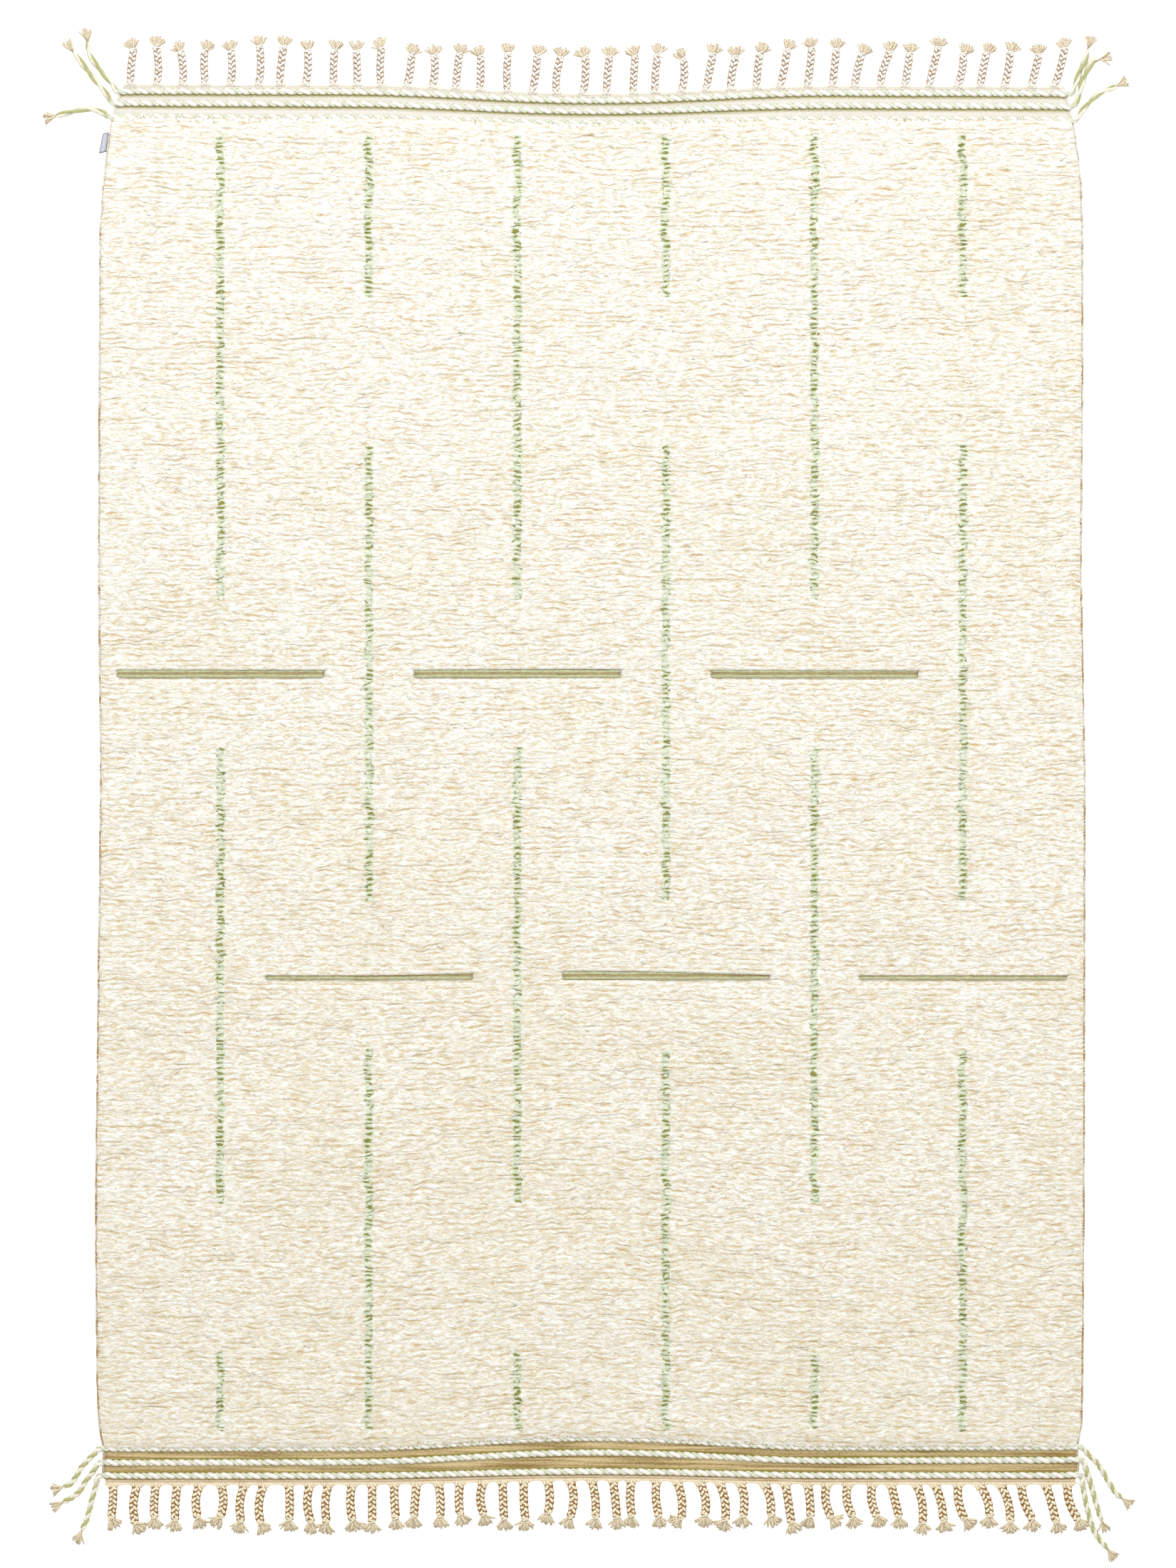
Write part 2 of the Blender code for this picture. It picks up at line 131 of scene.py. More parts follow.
# Dashed sage lines: x of each column and the stretches of y that are dyed
DASHES_A_MM = ((1320, 380), (80, -840), (-1140, -1300))
DASHES_B_MM = ((1320, 990), (690, -230), (-530, -1300))
COLUMNS_A_MM, COLUMNS_B_MM = (-750, -150, 450), (-450, 150, 750)
LINES_MM = tuple((x, DASHES_A_MM) for x in COLUMNS_A_MM) + tuple((x, DASHES_B_MM) for x in COLUMNS_B_MM)

# Flat-woven bars: middle x and y
BARS_MM = tuple((x, 230) for x in COLUMNS_A_MM) + tuple((x, -380) for x in COLUMNS_B_MM)
BAR_HALF_LONG_MM = 210
GROOVE_HALF_MM = 8.5
GROOVE_FLOOR = 8.5 * MM

# Flat weaves under and beside the pile
GROUND_HALF_MM = 990
GROUND_THICK = 3 * MM
KILIM_HALF_MM = 985
KILIM_RIBS = 17
KILIM_RIM = 4.2 * MM  # from the outline to the kilim's side

# Pile
ROW_PITCH = 10 * MM
COLUMN_PITCH_MM = 6
SQUEEZE_FROM_MM = 925  # columns further out than this close up to follow the edge
COLUMNS_TO_MM = 991
LINE_COLUMNS_MM = (-10, -6, -2, 2, 6, 10)
ROW_PROFILE = ((0.0, 1.0), (0.40, 0.16), (0.84, 0.0))  # share of a row, share of the crease's depth there
RIM_INSIDE = 6 * MM  # from the edge to the outermost column
SIDE_PROFILE_MM = ((-4.8, 0.80), (-4.0, 0.55), (-5.4, 0.30))  # past the edge, share of the height
FOOT_HEIGHT = 10.4 * MM  # of the pile where it ends over the first cord
PANELS = 4

# Loose yarn ends: how many in the field, and greatest width, rise over the root and start below it
FIELD_WISPS = 2200
FIELD_WISP_MM, SIDE_WISP_MM, END_WISP_MM = (2.2, 0.7, 2.0), (3.2, -1.0, 1.0), (3.4, 0.2, 1.0)
SIDE_WISP_FALL_MM = np.array((0, 1.0, 3.5, 6.0))
LOWEST_YARN = 1.6 * MM  # lowest middle line of a side wisp

# End strip: share of its width, height in mm, share of its pale yarn
STRIP_PROFILE = (
    (0.0, 0.3, 0.0), (0.03, 4.0, 0.0), (0.18, 4.6, 0.2), (0.30, 4.1, 0.9), (0.46, 4.6, 1.0),
    (0.56, 4.0, 0.1), (0.68, 4.5, 0.9), (1.0, 3.2, 1.0), (1.0, 0.2, 1.0),
)

# Colours of the pile, then two that the weaves share
# The two creams: random patches blend them, painted light shifts them towards the top end, painted shade into
# the creases
CREAM_HIGH = (0.94, 0.945, 0.925)
CREAM_LOW = (0.86, 0.83, 0.71)
CREAM_FIBRE = (0.87, 0.83, 0.70)
# Painted shadow: the tan of the curly shadow lines between tufts
STROKE_SHADE_TAN = (0.75, 0.58, 0.31)
# Painted shade: the warm tan of the shade in the pile's creases
CREASE_SHADE_TAN = (0.64, 0.43, 0.16)
SAGE_PALE = (0.84, 0.89, 0.77)
SAGE_DEEP = (0.62, 0.70, 0.49)
# Painted shade in olive on the creases of the sage lines
OLIVE_SHADE = (0.29, 0.29, 0.07)
OLIVE_LINE = (0.38, 0.34, 0.04)
# Painted shade between the beads of the brown weaves
BROWN_BEAD_SHADE = (0.15, 0.09, 0.025)

# Yarns: the dyes that a mark blends, the colour in their shade, and what else yarn_material takes
YARNS = {
    "twined_yarn": dict(
        dyes=((0.99, 0.96, 0.90), (0.79, 0.85, 0.69)), low=(0.44, 0.42, 0.26), by_mark="sage", by_under_shade=0.7,
        free_dyes=((0.88, 0.85, 0.71), (0.50, 0.50, 0.23)),
    ),
    "plaited_cotton": dict(
        dyes=((1.0, 0.92, 0.70), (1.0, 0.86, 0.61)), low=(0.33, 0.16, 0.03), by_mark="loose", by_under_shade=1.0,
        shadow=(0.42, 0.76),
    ),
    "plaited_pale_cotton": dict(
        dyes=((1.0, 0.985, 0.94), (1.0, 0.86, 0.64)), low=(0.38, 0.22, 0.10), by_mark="loose", by_under_shade=0.86,
        shadow=(0.43, 0.80),
    ),
    "wrapped_edge": dict(
        dyes=((0.52, 0.34, 0.17), (0.90, 0.86, 0.76)), low=(0.20, 0.12, 0.05), by_mark="pale", turns=320.0,
        between=0.18,
    ),
    "bar_olive": dict(dyes=((0.48, 0.49, 0.25), (0.66, 0.69, 0.47)), low=(0.26, 0.22, 0.08), between=0.3),
    "bar_brown": dict(dyes=((0.44, 0.31, 0.13), (0.58, 0.43, 0.22)), low=(0.18, 0.11, 0.03), between=0.3),
}

# Weaves: two dyes in streaks, the colour of the painted shade between their beads, and the one that a mark
# brings in
WEAVES = {
    "kilim_khaki": dict(dyes=((0.34, 0.22, 0.07), (0.92, 0.74, 0.41)), low=BROWN_BEAD_SHADE, third=OLIVE_LINE),
    # Painted light: the khaki weave made paler for the brightly lit top end
    "kilim_lit_pale": dict(
        dyes=((0.88, 0.83, 0.76), (0.97, 0.95, 0.92)), low=(0.76, 0.68, 0.57), third=OLIVE_LINE
    ),
    "strip_brown": dict(
        dyes=((0.50, 0.30, 0.12), (0.74, 0.53, 0.28)), low=BROWN_BEAD_SHADE, third=(0.95, 0.82, 0.61)
    ),
    "strip_pale": dict(
        dyes=((0.86, 0.78, 0.66), (0.93, 0.89, 0.82)), low=(0.62, 0.50, 0.34), third=(0.94, 0.90, 0.81)
    ),
    "ground_weave": dict(
        dyes=((0.80, 0.72, 0.56), (0.88, 0.81, 0.66)), low=(0.50, 0.40, 0.26), third=(0.42, 0.47, 0.30),
        by_mark="sage", beads=170.0, rows=200.0,
    ),
}


# ---------------------------------------------------------------- the part's own lines


def edge_x(y, side):
    """x of the outline at y: straight lines between the table's places."""
    return np.interp(y, EDGES_MM[::-1, 0] * MM, EDGES_MM[::-1, 1 if side < 0 else 2] * MM)


def row_y(x, end, row):
    """y of a cord row at x: straight from edge to edge, with a cosine-shaped dip over the middle half."""
    left, middle, right = (value * MM for value in CORDS_MM[end, row][0])
    u = np.asarray(x) / HALF_WIDTH
    dip = (1 + np.cos(TURN * u.clip(-0.5, 0.5))) / 2
    return left + (right - left) * (u + 1) / 2 + (middle - (left + right) / 2) * dip


def row_end_y(end, row, side):
    """y where a cord row meets the outline."""
    return float(row_y(edge_x(row_y(side * HALF_WIDTH, end, row), side), end, row))


def strip_inner_y(x, end):
    """y of the inner side of an end's strip."""
    return row_y(x, end, 3) + FRINGES_MM[end]["side"] * (CORD_WIDE / 2 + GAP)


def pile_foot_y(x, end):
    """y where the pile begins at an end: its last tufts lie over the inner third of the first cord."""
    return row_y(x, end, 1) - FRINGES_MM[end]["side"] * (CORD_WIDE / 2 - PILE_OVER_CORD)


def pile_height(x, y):
    """Height of the pile: its thickness, slow waves, low swells and a fall at the side edges."""
    waves = 0.9 * np.sin(9.1 * x + 3.7 * y) + 0.8 * np.sin(5.3 * x - 12.7 * y + 1)
    waves = waves + 0.6 * np.sin(23 * y + 2 * x)
    height = PILE_THICK + waves * MM
    for swell_x, swell_y, long_x, long_y, rise in SWELLS_MM:
        distance = ((x / MM - swell_x) / long_x) ** 2 + ((y / MM - swell_y) / long_y) ** 2
        height = height + rise * MM * np.exp(-distance)
    from_side = np.minimum(x - edge_x(y, -1), edge_x(y, 1) - x).clip(0)
    return height - 3 * MM * np.exp(-from_side / (14 * MM))


def tassel_places(end):
    """Root x, lean of the tip and length of each tassel of one fringe, even but for seeded chance."""
    size = FRINGES_MM[end]
    chance = np.random.default_rng(size["seed"])
    first, last = (edge_x(row_end_y(end, 3, way), way) - way * 24 * MM for way in (-1, 1))
    share = np.linspace(0, 1, size["count"])
    roots = first + share * (last - first) + chance.uniform(-4 * MM, 4 * MM, size["count"])
    trend = size["lean_left"] + share**1.5 * (size["lean_right"] - size["lean_left"])
    leans = (trend + chance.uniform(-7, 7, size["count"])) * MM
    return roots, leans, size["length"] * MM * chance.uniform(0.88, 1.08, size["count"])


def line_mask(x, y):
    """1 on a dyed dash, 0 outside it: full to 6 mm from its middle and gone at 10 mm."""
    mask = np.zeros(np.broadcast(x, y).shape)
    for line_x, dashes in LINES_MM:
        across = np.clip((10 - abs(x / MM - line_x)) / 4, 0, 1)
        for high, low in dashes:
            mask = np.maximum(mask, across * ((y / MM < high) & (y / MM > low)))
    return mask


# ---------------------------------------------------------------- arrays and meshes


def noise(seed, x, y, step_x, step_y):
    """Smooth noise from -1 to 1: seeded values on a lattice with these steps, eased from one to the next."""
    lattice = np.random.default_rng(seed).uniform(-1, 1, (256, 256))
    u, v = x / step_x + 77.3, y / step_y + 77.7
    i, j = np.floor(u).astype(int), np.floor(v).astype(int)
    u, v = ease(u - i), ease(v - j)
    low, high = (
        lattice[i % 256, row % 256] * (1 - u) + lattice[(i + 1) % 256, row % 256] * u for row in (j, j + 1)
    )
    return low * (1 - v) + high * v


def ripple(seed, along, step):
    """Smooth noise from -1 to 1 along one line."""
    return noise(seed, along, along * 0, step, 1)


def ease(t):
    """0 to 1 with level ends: three t squared less two t cubed."""
    t = np.clip(t, 0, 1)
    return t * t * (3 - 2 * t)


def unit(vectors):
    """Vectors divided by their lengths."""
    return vectors / np.maximum(np.linalg.norm(vectors, axis=-1, keepdims=True), 1e-12)


def stack(*values):
    """Points from their coordinates, each of which may be a number or any array that broadcasts."""
    return np.stack(np.broadcast_arrays(*values), -1)


def raised(flat, height):
    """Points (x, y, z) from points (x, y) and their heights."""
    return np.concatenate((flat, height[..., None]), -1)


def headed(angles):
    """The unit vectors ahead and to the left of each heading."""
    return stack(np.cos(angles), np.sin(angles)), stack(-np.sin(angles), np.cos(angles))


def grid_faces(rows, columns, around=False):
    """Quads of a grid of points numbered row by row. With around, the last column joins the first."""
    row = np.arange(rows - 1)[:, None] * columns
    here = np.arange(columns if around else columns - 1)[None]
    after = (here + 1) % columns
    return stack(row + here, row + after, row + columns + after, row + columns + here).reshape(-1, 4)


def join(shapes):
    """One shape from several, each (points, list of face arrays, {mark: values})."""
    points, faces, marks = [], [], {}
    start = 0
    for shape_points, shape_faces, shape_marks in shapes:
        points.append(shape_points)
        faces += [face + start for face in shape_faces]
        for key, values in shape_marks.items():
            marks.setdefault(key, []).append(values)
        start += len(shape_points)
    return np.concatenate(points), faces, {key: np.concatenate(values) for key, values in marks.items()}


def corner_angles(sides):
    """Angles of a tube's corners in its section, counted from underneath.

    Three-sided tubes count from the top instead, so that a flat side is up.
    """
    start = np.pi / 2 if sides == 3 else -np.pi / 2
    return start + TURN * (np.arange(sides) + 0.5) / sides


def tubes(paths, wide, high, sides=6, **marks):
    """Closed tubes along paths (tube, station, xyz): ellipses square to each path, wide across, high upwards.

    Mark uv holds metres along the tube and its share around, counted as the corners are. Further marks are a
    value for each tube.
    """
    count, stations = paths.shape[:2]
    wide, high = (np.broadcast_to(size, (count, stations))[:, :, None, None] for size in (wide, high))
    along = unit(np.gradient(paths, axis=1))
    across = unit(np.cross(along, (0, 0, 1)))
    upwards = np.cross(across, along)
    angle = corner_angles(sides)[:, None]
    ring = across[:, :, None] * wide / 2 * np.cos(angle) + upwards[:, :, None] * high / 2 * np.sin(angle)
    points = paths[:, :, None] + ring
    starts = np.arange(count)[:, None, None] * stations * sides
    walls = (grid_faces(stations, sides, around=True)[:, ::-1][None] + starts).reshape(-1, 4)
    cap = np.arange(sides)[None]
    caps = [cap + starts[:, 0], (cap + (stations - 1) * sides)[:, ::-1] + starts[:, 0]]
    steps = np.linalg.norm(np.diff(paths, axis=1), axis=2)
    length = np.concatenate((np.zeros((count, 1)), np.cumsum(steps, axis=1)), axis=1)
    uv = stack(length[:, :, None], ((np.arange(sides) + 0.5) / sides)[None, None])
    spread = {key: np.repeat(np.broadcast_to(value, count), stations * sides) for key, value in marks.items()}
    return points.reshape(-1, 3), [walls, *caps], {"uv": uv.reshape(-1, 2), **spread}


def side_shade(shape, sides, strength, broad=0.75):
    """Raises a shape's under mark, its painted shade, on the sides and underside of its tubes, not their
    tops.
    """
    ring = strength * (broad - 1.1 * np.sin(corner_angles(sides))).clip(0, 1)
    shape[2]["under"] = np.maximum(shape[2]["under"], np.tile(ring, len(shape[0]) // sides))


def ribbon(rows, **marks):
    """An open surface from rows of points (row, column, xyz), with uv from the marks."""
    marks = {key: value.reshape(-1, *value.shape[2:]) for key, value in marks.items()}
    return rows.reshape(-1, 3), [grid_faces(*rows.shape[:2])], marks


def volume_sign(points, faces):
    """Above 0 where faces look up or outwards: each one's height times its area seen from above, added up."""
    total = 0
    for face in faces:
        corners = points[face]
        a, b = corners[:, 2] - corners[:, 0], corners[:, -1] - corners[:, 1]
        total += np.sum(np.mean(corners[:, :, 2], axis=1) * (a[:, 0] * b[:, 1] - a[:, 1] * b[:, 0]))
    return total


def add_piece(name, shape, finish, slot, node):
    """Puts a shape in a smooth mesh in the row frame, facing outwards, with its marks, and lets it ride."""
    points, faces, marks = shape
    points = points + BODY_SHIFT
    if volume_sign(points, faces) < 0:
        faces = [face[:, ::-1] for face in faces]
    corners = np.concatenate([face.ravel() for face in faces])
    sizes = np.concatenate([np.full(len(face), face.shape[1]) for face in faces])
    mesh = bpy.data.meshes.new(name)
    mesh.vertices.add(len(points))
    mesh.vertices.foreach_set("co", points.ravel())
    mesh.loops.add(len(corners))
    mesh.loops.foreach_set("vertex_index", corners)
    mesh.polygons.add(len(sizes))
    mesh.polygons.foreach_set("loop_start", np.cumsum(sizes) - sizes)
    mesh.polygons.foreach_set("loop_total", sizes)
    mesh.polygons.foreach_set("use_smooth", np.ones(len(sizes), dtype=bool))
    mesh.update(calc_edges=True)
    for key, values in marks.items():
        if key == "uv":
            mesh.uv_layers.new(name="UVMap").data.foreach_set("uv", values[corners].ravel())
        else:
            mesh.attributes.new(key, "FLOAT", "POINT").data.foreach_set("value", values.astype(float))
    mesh.materials.append(finish)
    made = bpy.data.objects.new(name, mesh)
    bpy.context.scene.collection.objects.link(made)
    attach(made, "root")
    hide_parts(node)
    return made


# ---------------------------------------------------------------- the pile


def crease_shares():
    """Shares of the pile's length where its rows meet, about 10 mm apart, and the row and y of each groove.

    The rows are even between fixed places: the two ends, and each groove's sides and middle.
    """
    top, bottom = pile_foot_y(0, "top"), pile_foot_y(0, "bottom")
    grooves = sorted({y for _, y in BARS_MM}, reverse=True)
    sides = [(y + step) * MM for y in grooves for step in (GROOVE_HALF_MM, 0, -GROOVE_HALF_MM)]
    fixed = [top, *sides, bottom]
    places, last = [top], []
    for high, low in zip(fixed, fixed[1:]):
        count = max(1, round((high - low) / ROW_PITCH))
        places += list(high + (low - high) * np.arange(1, count + 1) / count)
        last.append(len(places) - 1)
    shares = (top - np.array(places)) / (top - bottom)
    return shares, [(last[3 * k + 1], y) for k, y in enumerate(grooves)]


def pile_columns():
    """Middle x of each column in millimetres: even ones, and close ones at each sage line."""
    columns = np.arange(-COLUMNS_TO_MM, COLUMNS_TO_MM + 1, COLUMN_PITCH_MM, dtype=float)
    for line_x, _ in LINES_MM:
        columns = columns[abs(columns - line_x) > 12.5]
        columns = np.concatenate((columns, line_x + np.array(LINE_COLUMNS_MM)))
    return np.sort(columns)


def pile_grid():
    """Points of the whole pile (row, column, xyz) and its marks.

    Three cross rows make one row of knots: the crease behind it, its shoulder and its crest, with a steep
    drop to the next crease. The rows wander by smooth noise, the creases come and go along them in streaks,
    and the crests are uneven tuft by tuft. Dyed lines lie 0.9 mm lower, and the bars' grooves are level.
    """
    shares, grooves = crease_shares()
    count = len(shares) - 1
    inside, drops = np.array(ROW_PROFILE).T
    number = np.append(np.repeat(np.arange(count), 3), count)[:, None]
    inside = np.append(np.tile(inside, count), 0.0)[:, None]
    drops = np.append(np.tile(drops, count), 1.0)[:, None]
    columns = pile_columns()[None]
    groove = np.zeros((len(number), columns.shape[1]))
    calm = np.ones_like(groove)
    for row, groove_y in grooves:
        past_bar = [abs(columns - x) - BAR_HALF_LONG_MM for x, y in BARS_MM if y == groove_y]
        across = np.clip((3 - np.min(past_bar, axis=0)) / 4, 0, 1)
        from_groove = abs(number + inside - row)
        groove = np.maximum(groove, across * (from_groove <= 1.0))
        calm = np.minimum(calm, 1 - across * (1 - ease((from_groove - 1) / 4)))
        inside = np.where((number == row + 1) & (inside == 0.40) & (across > 0.5), 0.14, inside)
    order = number + inside
    share = np.interp(order, np.arange(count + 1), shares)
    x = np.broadcast_to(columns * MM, groove.shape)
    y = (1 - share) * pile_foot_y(x, "top") + share * pile_foot_y(x, "bottom")
    x = follow_edges(x, y)
    wander = 4.2 * noise(21, x, order, 55 * MM, 3.0) + 2.6 * noise(22, x, order, 24 * MM, 1.3)
    wander = wander + 2.4 * noise(23, x, order, 13 * MM, 0.7)
    y = y + wander * MM * calm * ease(order / 1.5) * ease((count - order) / 1.5)
    sage = line_mask(x, y)
    from_line = np.min([abs(columns - line_x) for line_x, _ in LINES_MM], axis=0)
    near_line = np.clip((14 - from_line) / 4, 0, 1)
    sway = 2.6 * noise(24, x, order, 26 * MM, 1.0) * calm + near_line * 4.5 * noise(25, x * 0, number, 1, 0.8)
    streak = ease(0.30 + 0.7 * noise(26, x, number, 38 * MM, 0.9) + 0.7 * noise(27, x, number, 13 * MM, 0.8))
    streak = np.maximum(streak, 0.75 * sage)
    depth = (0.5 + 0.8 * streak) * MM
    crest = 0.8 * noise(28, x, order, 15 * MM, 0.9) + 1.2 * noise(29, x, order, 8.0 * MM, 0.45)
    height = pile_height(x, y) + crest * MM - drops * depth - 0.9 * MM * sage
    height = height * (1 - groove) + GROOVE_FLOOR * groove
    foot = 1 - (1 - np.minimum(order, count - order).clip(0, 3) / 3) ** 3
    height = FOOT_HEIGHT * (1 - foot) + height * foot
    # Painted shade in the creases, strongest where the streaks open them
    deep = drops * (0.25 + 0.75 * streak)
    # The dash mark is painted olive shade on the sage lines: full at each crease, three quarters at each
    # crest, none on the shoulders
    painted_shade = np.select((drops == 1, drops > 0), (1.0, 0.0), 0.75)
    core = (8.5 - from_line).clip(0, 4) / 4
    dash = painted_shade * core * (sage > 0) * (0.62 + 0.5 * noise(30, x / 6, number, 1, 0.7))
    return add_sides(stack(x + sway * MM, y, height), deep, sage, dash, order + 0 * x)


def follow_edges(x, y):
    """Moves the outer columns so that the outermost follows the outline, a little inside it."""
    start, stop = SQUEEZE_FROM_MM * MM, COLUMNS_TO_MM * MM
    share = (abs(x) - start).clip(0) / (stop - start)
    rim = np.where(x < 0, -edge_x(y, -1), edge_x(y, 1)) - RIM_INSIDE
    return np.where(abs(x) > start, np.sign(x) * (start + share * (rim - start)), x)


def add_sides(points, *marks):
    """Adds columns at both sides that curl down beside the wrapped edge in uneven locks."""
    sides = []
    for side, rim in ((-1, points[:, 0]), (1, points[:, -1])):
        y = rim[:, 1]
        lock = 1.2 * MM * ripple(31 + side, y, 9 * MM)
        edge = edge_x(y, side)
        curl = [stack(edge + side * (out * MM + lock), y, rim[:, 2] * down) for out, down in SIDE_PROFILE_MM]
        sides.append(np.stack(curl, 1))
    points = np.concatenate((sides[0][:, ::-1], points, sides[1]), axis=1)
    extra = len(SIDE_PROFILE_MM)
    return points, *(np.pad(values, ((0, 0), (extra, extra)), "edge") for values in marks)


def build_pile(finish):
    """The pile in panels of whole rows, which share the crease between them."""
    points, deep, sage, dash, order = pile_grid()
    # Two of these marks are painted shade, the creases' and the dashes'; sage is the lines' dye
    marks = {"uv": stack(points[:, :, 0], order * ROW_PITCH), "deep": deep, "sage": sage, "dash": dash}
    rows = (len(points) - 1) // 3
    cuts = [3 * round(rows * k / PANELS) for k in range(PANELS + 1)]
    made = []
    for k, (start, stop) in enumerate(zip(cuts, cuts[1:])):
        part = slice(start, stop + 1)
        shape = ribbon(points[part], **{key: values[part] for key, values in marks.items()})
        made.append(add_piece(f"pile_{k + 1}", shape, finish, "cream_wool", "rug_cloth"))
    return made


def lock_shape(roots, headings, lengths, chance, wide, lift, dive):
    """Wisps of yarn: spindles that rise out of the pile, bend sideways and lie down on it.

    roots are (lock, xyz) on the pile's top and headings angles. A lock's way is its root plus its heading
    times its length, bent sideways by a parabola. It starts dive below the root and rises to lift above it.
    """
    share = np.array((0, 0.3, 0.66, 1.0))
    ahead, aside = (way[:, None] for way in headed(headings))
    bend = chance.uniform(-0.45, 0.45, (len(roots), 1)) * lengths[:, None]
    flat = roots[:, None, :2] + ahead * (share * lengths[:, None])[..., None]
    flat = flat + aside * (bend * share**2)[..., None]
    rise = np.array((-dive, lift, lift - 0.2, lift - 1.6)) * MM
    width = wide * MM * np.array((0.5, 1.0, 0.75, 0.12)) * chance.uniform(0.7, 1.3, (len(roots), 1))
    return raised(flat, roots[:, 2:3] + rise), width


def lay_wisps(chance, root, heading, turned, length, form=FIELD_WISP_MM, flat=0.5, at_side=False, **marks):
    """Three-sided wisps from their roots, turned from a heading by chance. A pair for a mark is a range."""
    count = len(root)
    heading = heading + chance.normal(0, turned, count)
    paths, width = lock_shape(root, heading, chance.uniform(*length, count) * MM, chance, *form)
    if at_side:
        paths[:, :, 2] = (paths[:, :, 2] - SIDE_WISP_FALL_MM * MM).clip(LOWEST_YARN)
    marks = {key: chance.uniform(*of, count) if isinstance(of, tuple) else of for key, of in marks.items()}
    return tubes(paths, width, width * flat, 3, **{"sage": 0, "deep": 0, "dash": 0, **marks})


def build_wisps(finish):
    """Loose yarn ends over the whole pile, beside the sage lines, at the side edges and over the first cords.

    They are drawn in that order, each kind's places first, then headings, lengths, bends, widths and marks.
    """
    chance = np.random.default_rng(41)

    def shaken(places):
        """Places in millimetres, each moved up to 3 mm by chance, in metres."""
        return (places + chance.uniform(-3, 3, len(places))) * MM

    x = chance.uniform(-960, 960, FIELD_WISPS) * MM
    y = chance.uniform(-1290, 1320, FIELD_WISPS) * MM
    past = [np.hypot((abs(x / MM - bx) - BAR_HALF_LONG_MM).clip(0), y / MM - by) for bx, by in BARS_MM]
    keep = np.min(past, axis=0) > 22
    x, y = x[keep], y[keep]
    sage = line_mask(x, y)
    root = stack(x, y, pile_height(x, y) - 2 * MM * sage)
    heading = np.where(chance.random(len(x)) < 0.5, 0, np.pi)
    shapes = [lay_wisps(chance, root, heading, 0.55, (9, 22), sage=sage)]
    for line_x, high, low in ((line_x, *dash) for line_x, dashes in LINES_MM for dash in dashes):
        rows = np.arange(high - 6, low, -5.0)
        side = np.where(chance.random(len(rows)) < 0.5, -1, 1)
        x = (line_x + side * chance.uniform(0, 4, len(rows))) * MM
        y = shaken(rows)
        root = stack(x, y, pile_height(x, y) - 1.2 * MM)
        heading = np.where(side > 0, 0, np.pi)
        # Wisps on the sage lines carry a random share of the olive painted shade
        shapes.append(lay_wisps(chance, root, heading, 0.35, (6, 12), sage=1, dash=(0, 0.7)))
    for side, heading in ((-1, np.pi), (1, 0)):
        y = shaken(np.arange(-1296, 1330, 6.0))
        x = edge_x(y, side)
        root = stack(x - side * 6 * MM, y, pile_height(x, y) * 0.72)
        # Side wisps carry a random share of painted shade
        shapes.append(lay_wisps(chance, root, heading, 0.6, (3, 9), SIDE_WISP_MM, 0.6, True, deep=(0, 0.9)))
    for end, step in (("top", 9.0), ("bottom", 11.0)):
        x = shaken(np.arange(-965, 965, step))
        way = FRINGES_MM[end]["side"]
        back = chance.uniform(3, 12, len(x)) * MM
        root = stack(x, pile_foot_y(x, end) - way * back, FOOT_HEIGHT - 0.2 * MM + 0.25 * back)
        # Wisps over the first cords carry a random share of painted shade
        shapes.append(lay_wisps(chance, root, way * np.pi / 2, 0.9, (6, 11), END_WISP_MM, 0.3, deep=(0, 0.8)))
    shape = join(shapes)
    shape[2]["uv"] = shape[0][:, :2]
    return add_piece("loose_yarn_ends", shape, finish, "cream_wool", "rug_cloth")


# ---------------------------------------------------------------- flat-woven parts


def build_ground(finish):
    """The ground weave as one thin closed cloth under the pile, with a level underside and a level top."""
    columns = [-1.0, 1.0] + list(np.linspace(-0.985, 0.985, 60))
    columns += [(line_x + step) / GROUND_HALF_MM for line_x, _ in LINES_MM for step in (-8, -5.5, 5.5, 8)]
    across = np.sort(np.array(columns))[None]
    ends_y = [y + step for _, dashes in LINES_MM for dash in dashes for y in dash for step in (-3, 3)]
    shares = (pile_foot_y(0, "top") / MM - np.array(sorted(set(ends_y)))) / 2660
    share = np.sort(np.append(np.linspace(0, 1, 22), shares.clip(0.01, 0.99)))[:, None]
    nominal = across * GROUND_HALF_MM * MM
    top, bottom = strip_inner_y(nominal, "top") - GAP, strip_inner_y(nominal, "bottom") + GAP
    y = (1 - share) * top + share * bottom
    left, right = edge_x(y, -1) + SELVEDGE_WIDE + GAP, edge_x(y, 1) - SELVEDGE_WIDE - GAP
    x = np.where(across == -1, left, np.where(across == 1, right, np.clip(nominal, left, right)))
    low = stack(x, y, 0 * x)
    rows, wide = x.shape
    faces = grid_faces(rows, wide)
    total = rows * wide
    rim = np.concatenate((
        np.arange(wide),
        np.arange(2 * wide - 1, total, wide),
        np.arange(total - 2, total - wide - 1, -1),
        np.arange(total - 2 * wide, 0, -wide),
    ))
    after = np.roll(rim, -1)
    walls = stack(rim, after, after + total, rim + total)
    points = np.concatenate((low.reshape(-1, 3), (low + (0, 0, GROUND_THICK)).reshape(-1, 3)))
    marks = {"uv": np.tile(stack(x, y).reshape(-1, 2), (2, 1)), "sage": np.tile(line_mask(x, y).ravel(), 2)}
    shape = points, [faces, faces[:, ::-1] + total, walls[:, ::-1]], marks
    return add_piece("ground_weave", shape, finish, "cream_wool", "rug_cloth")


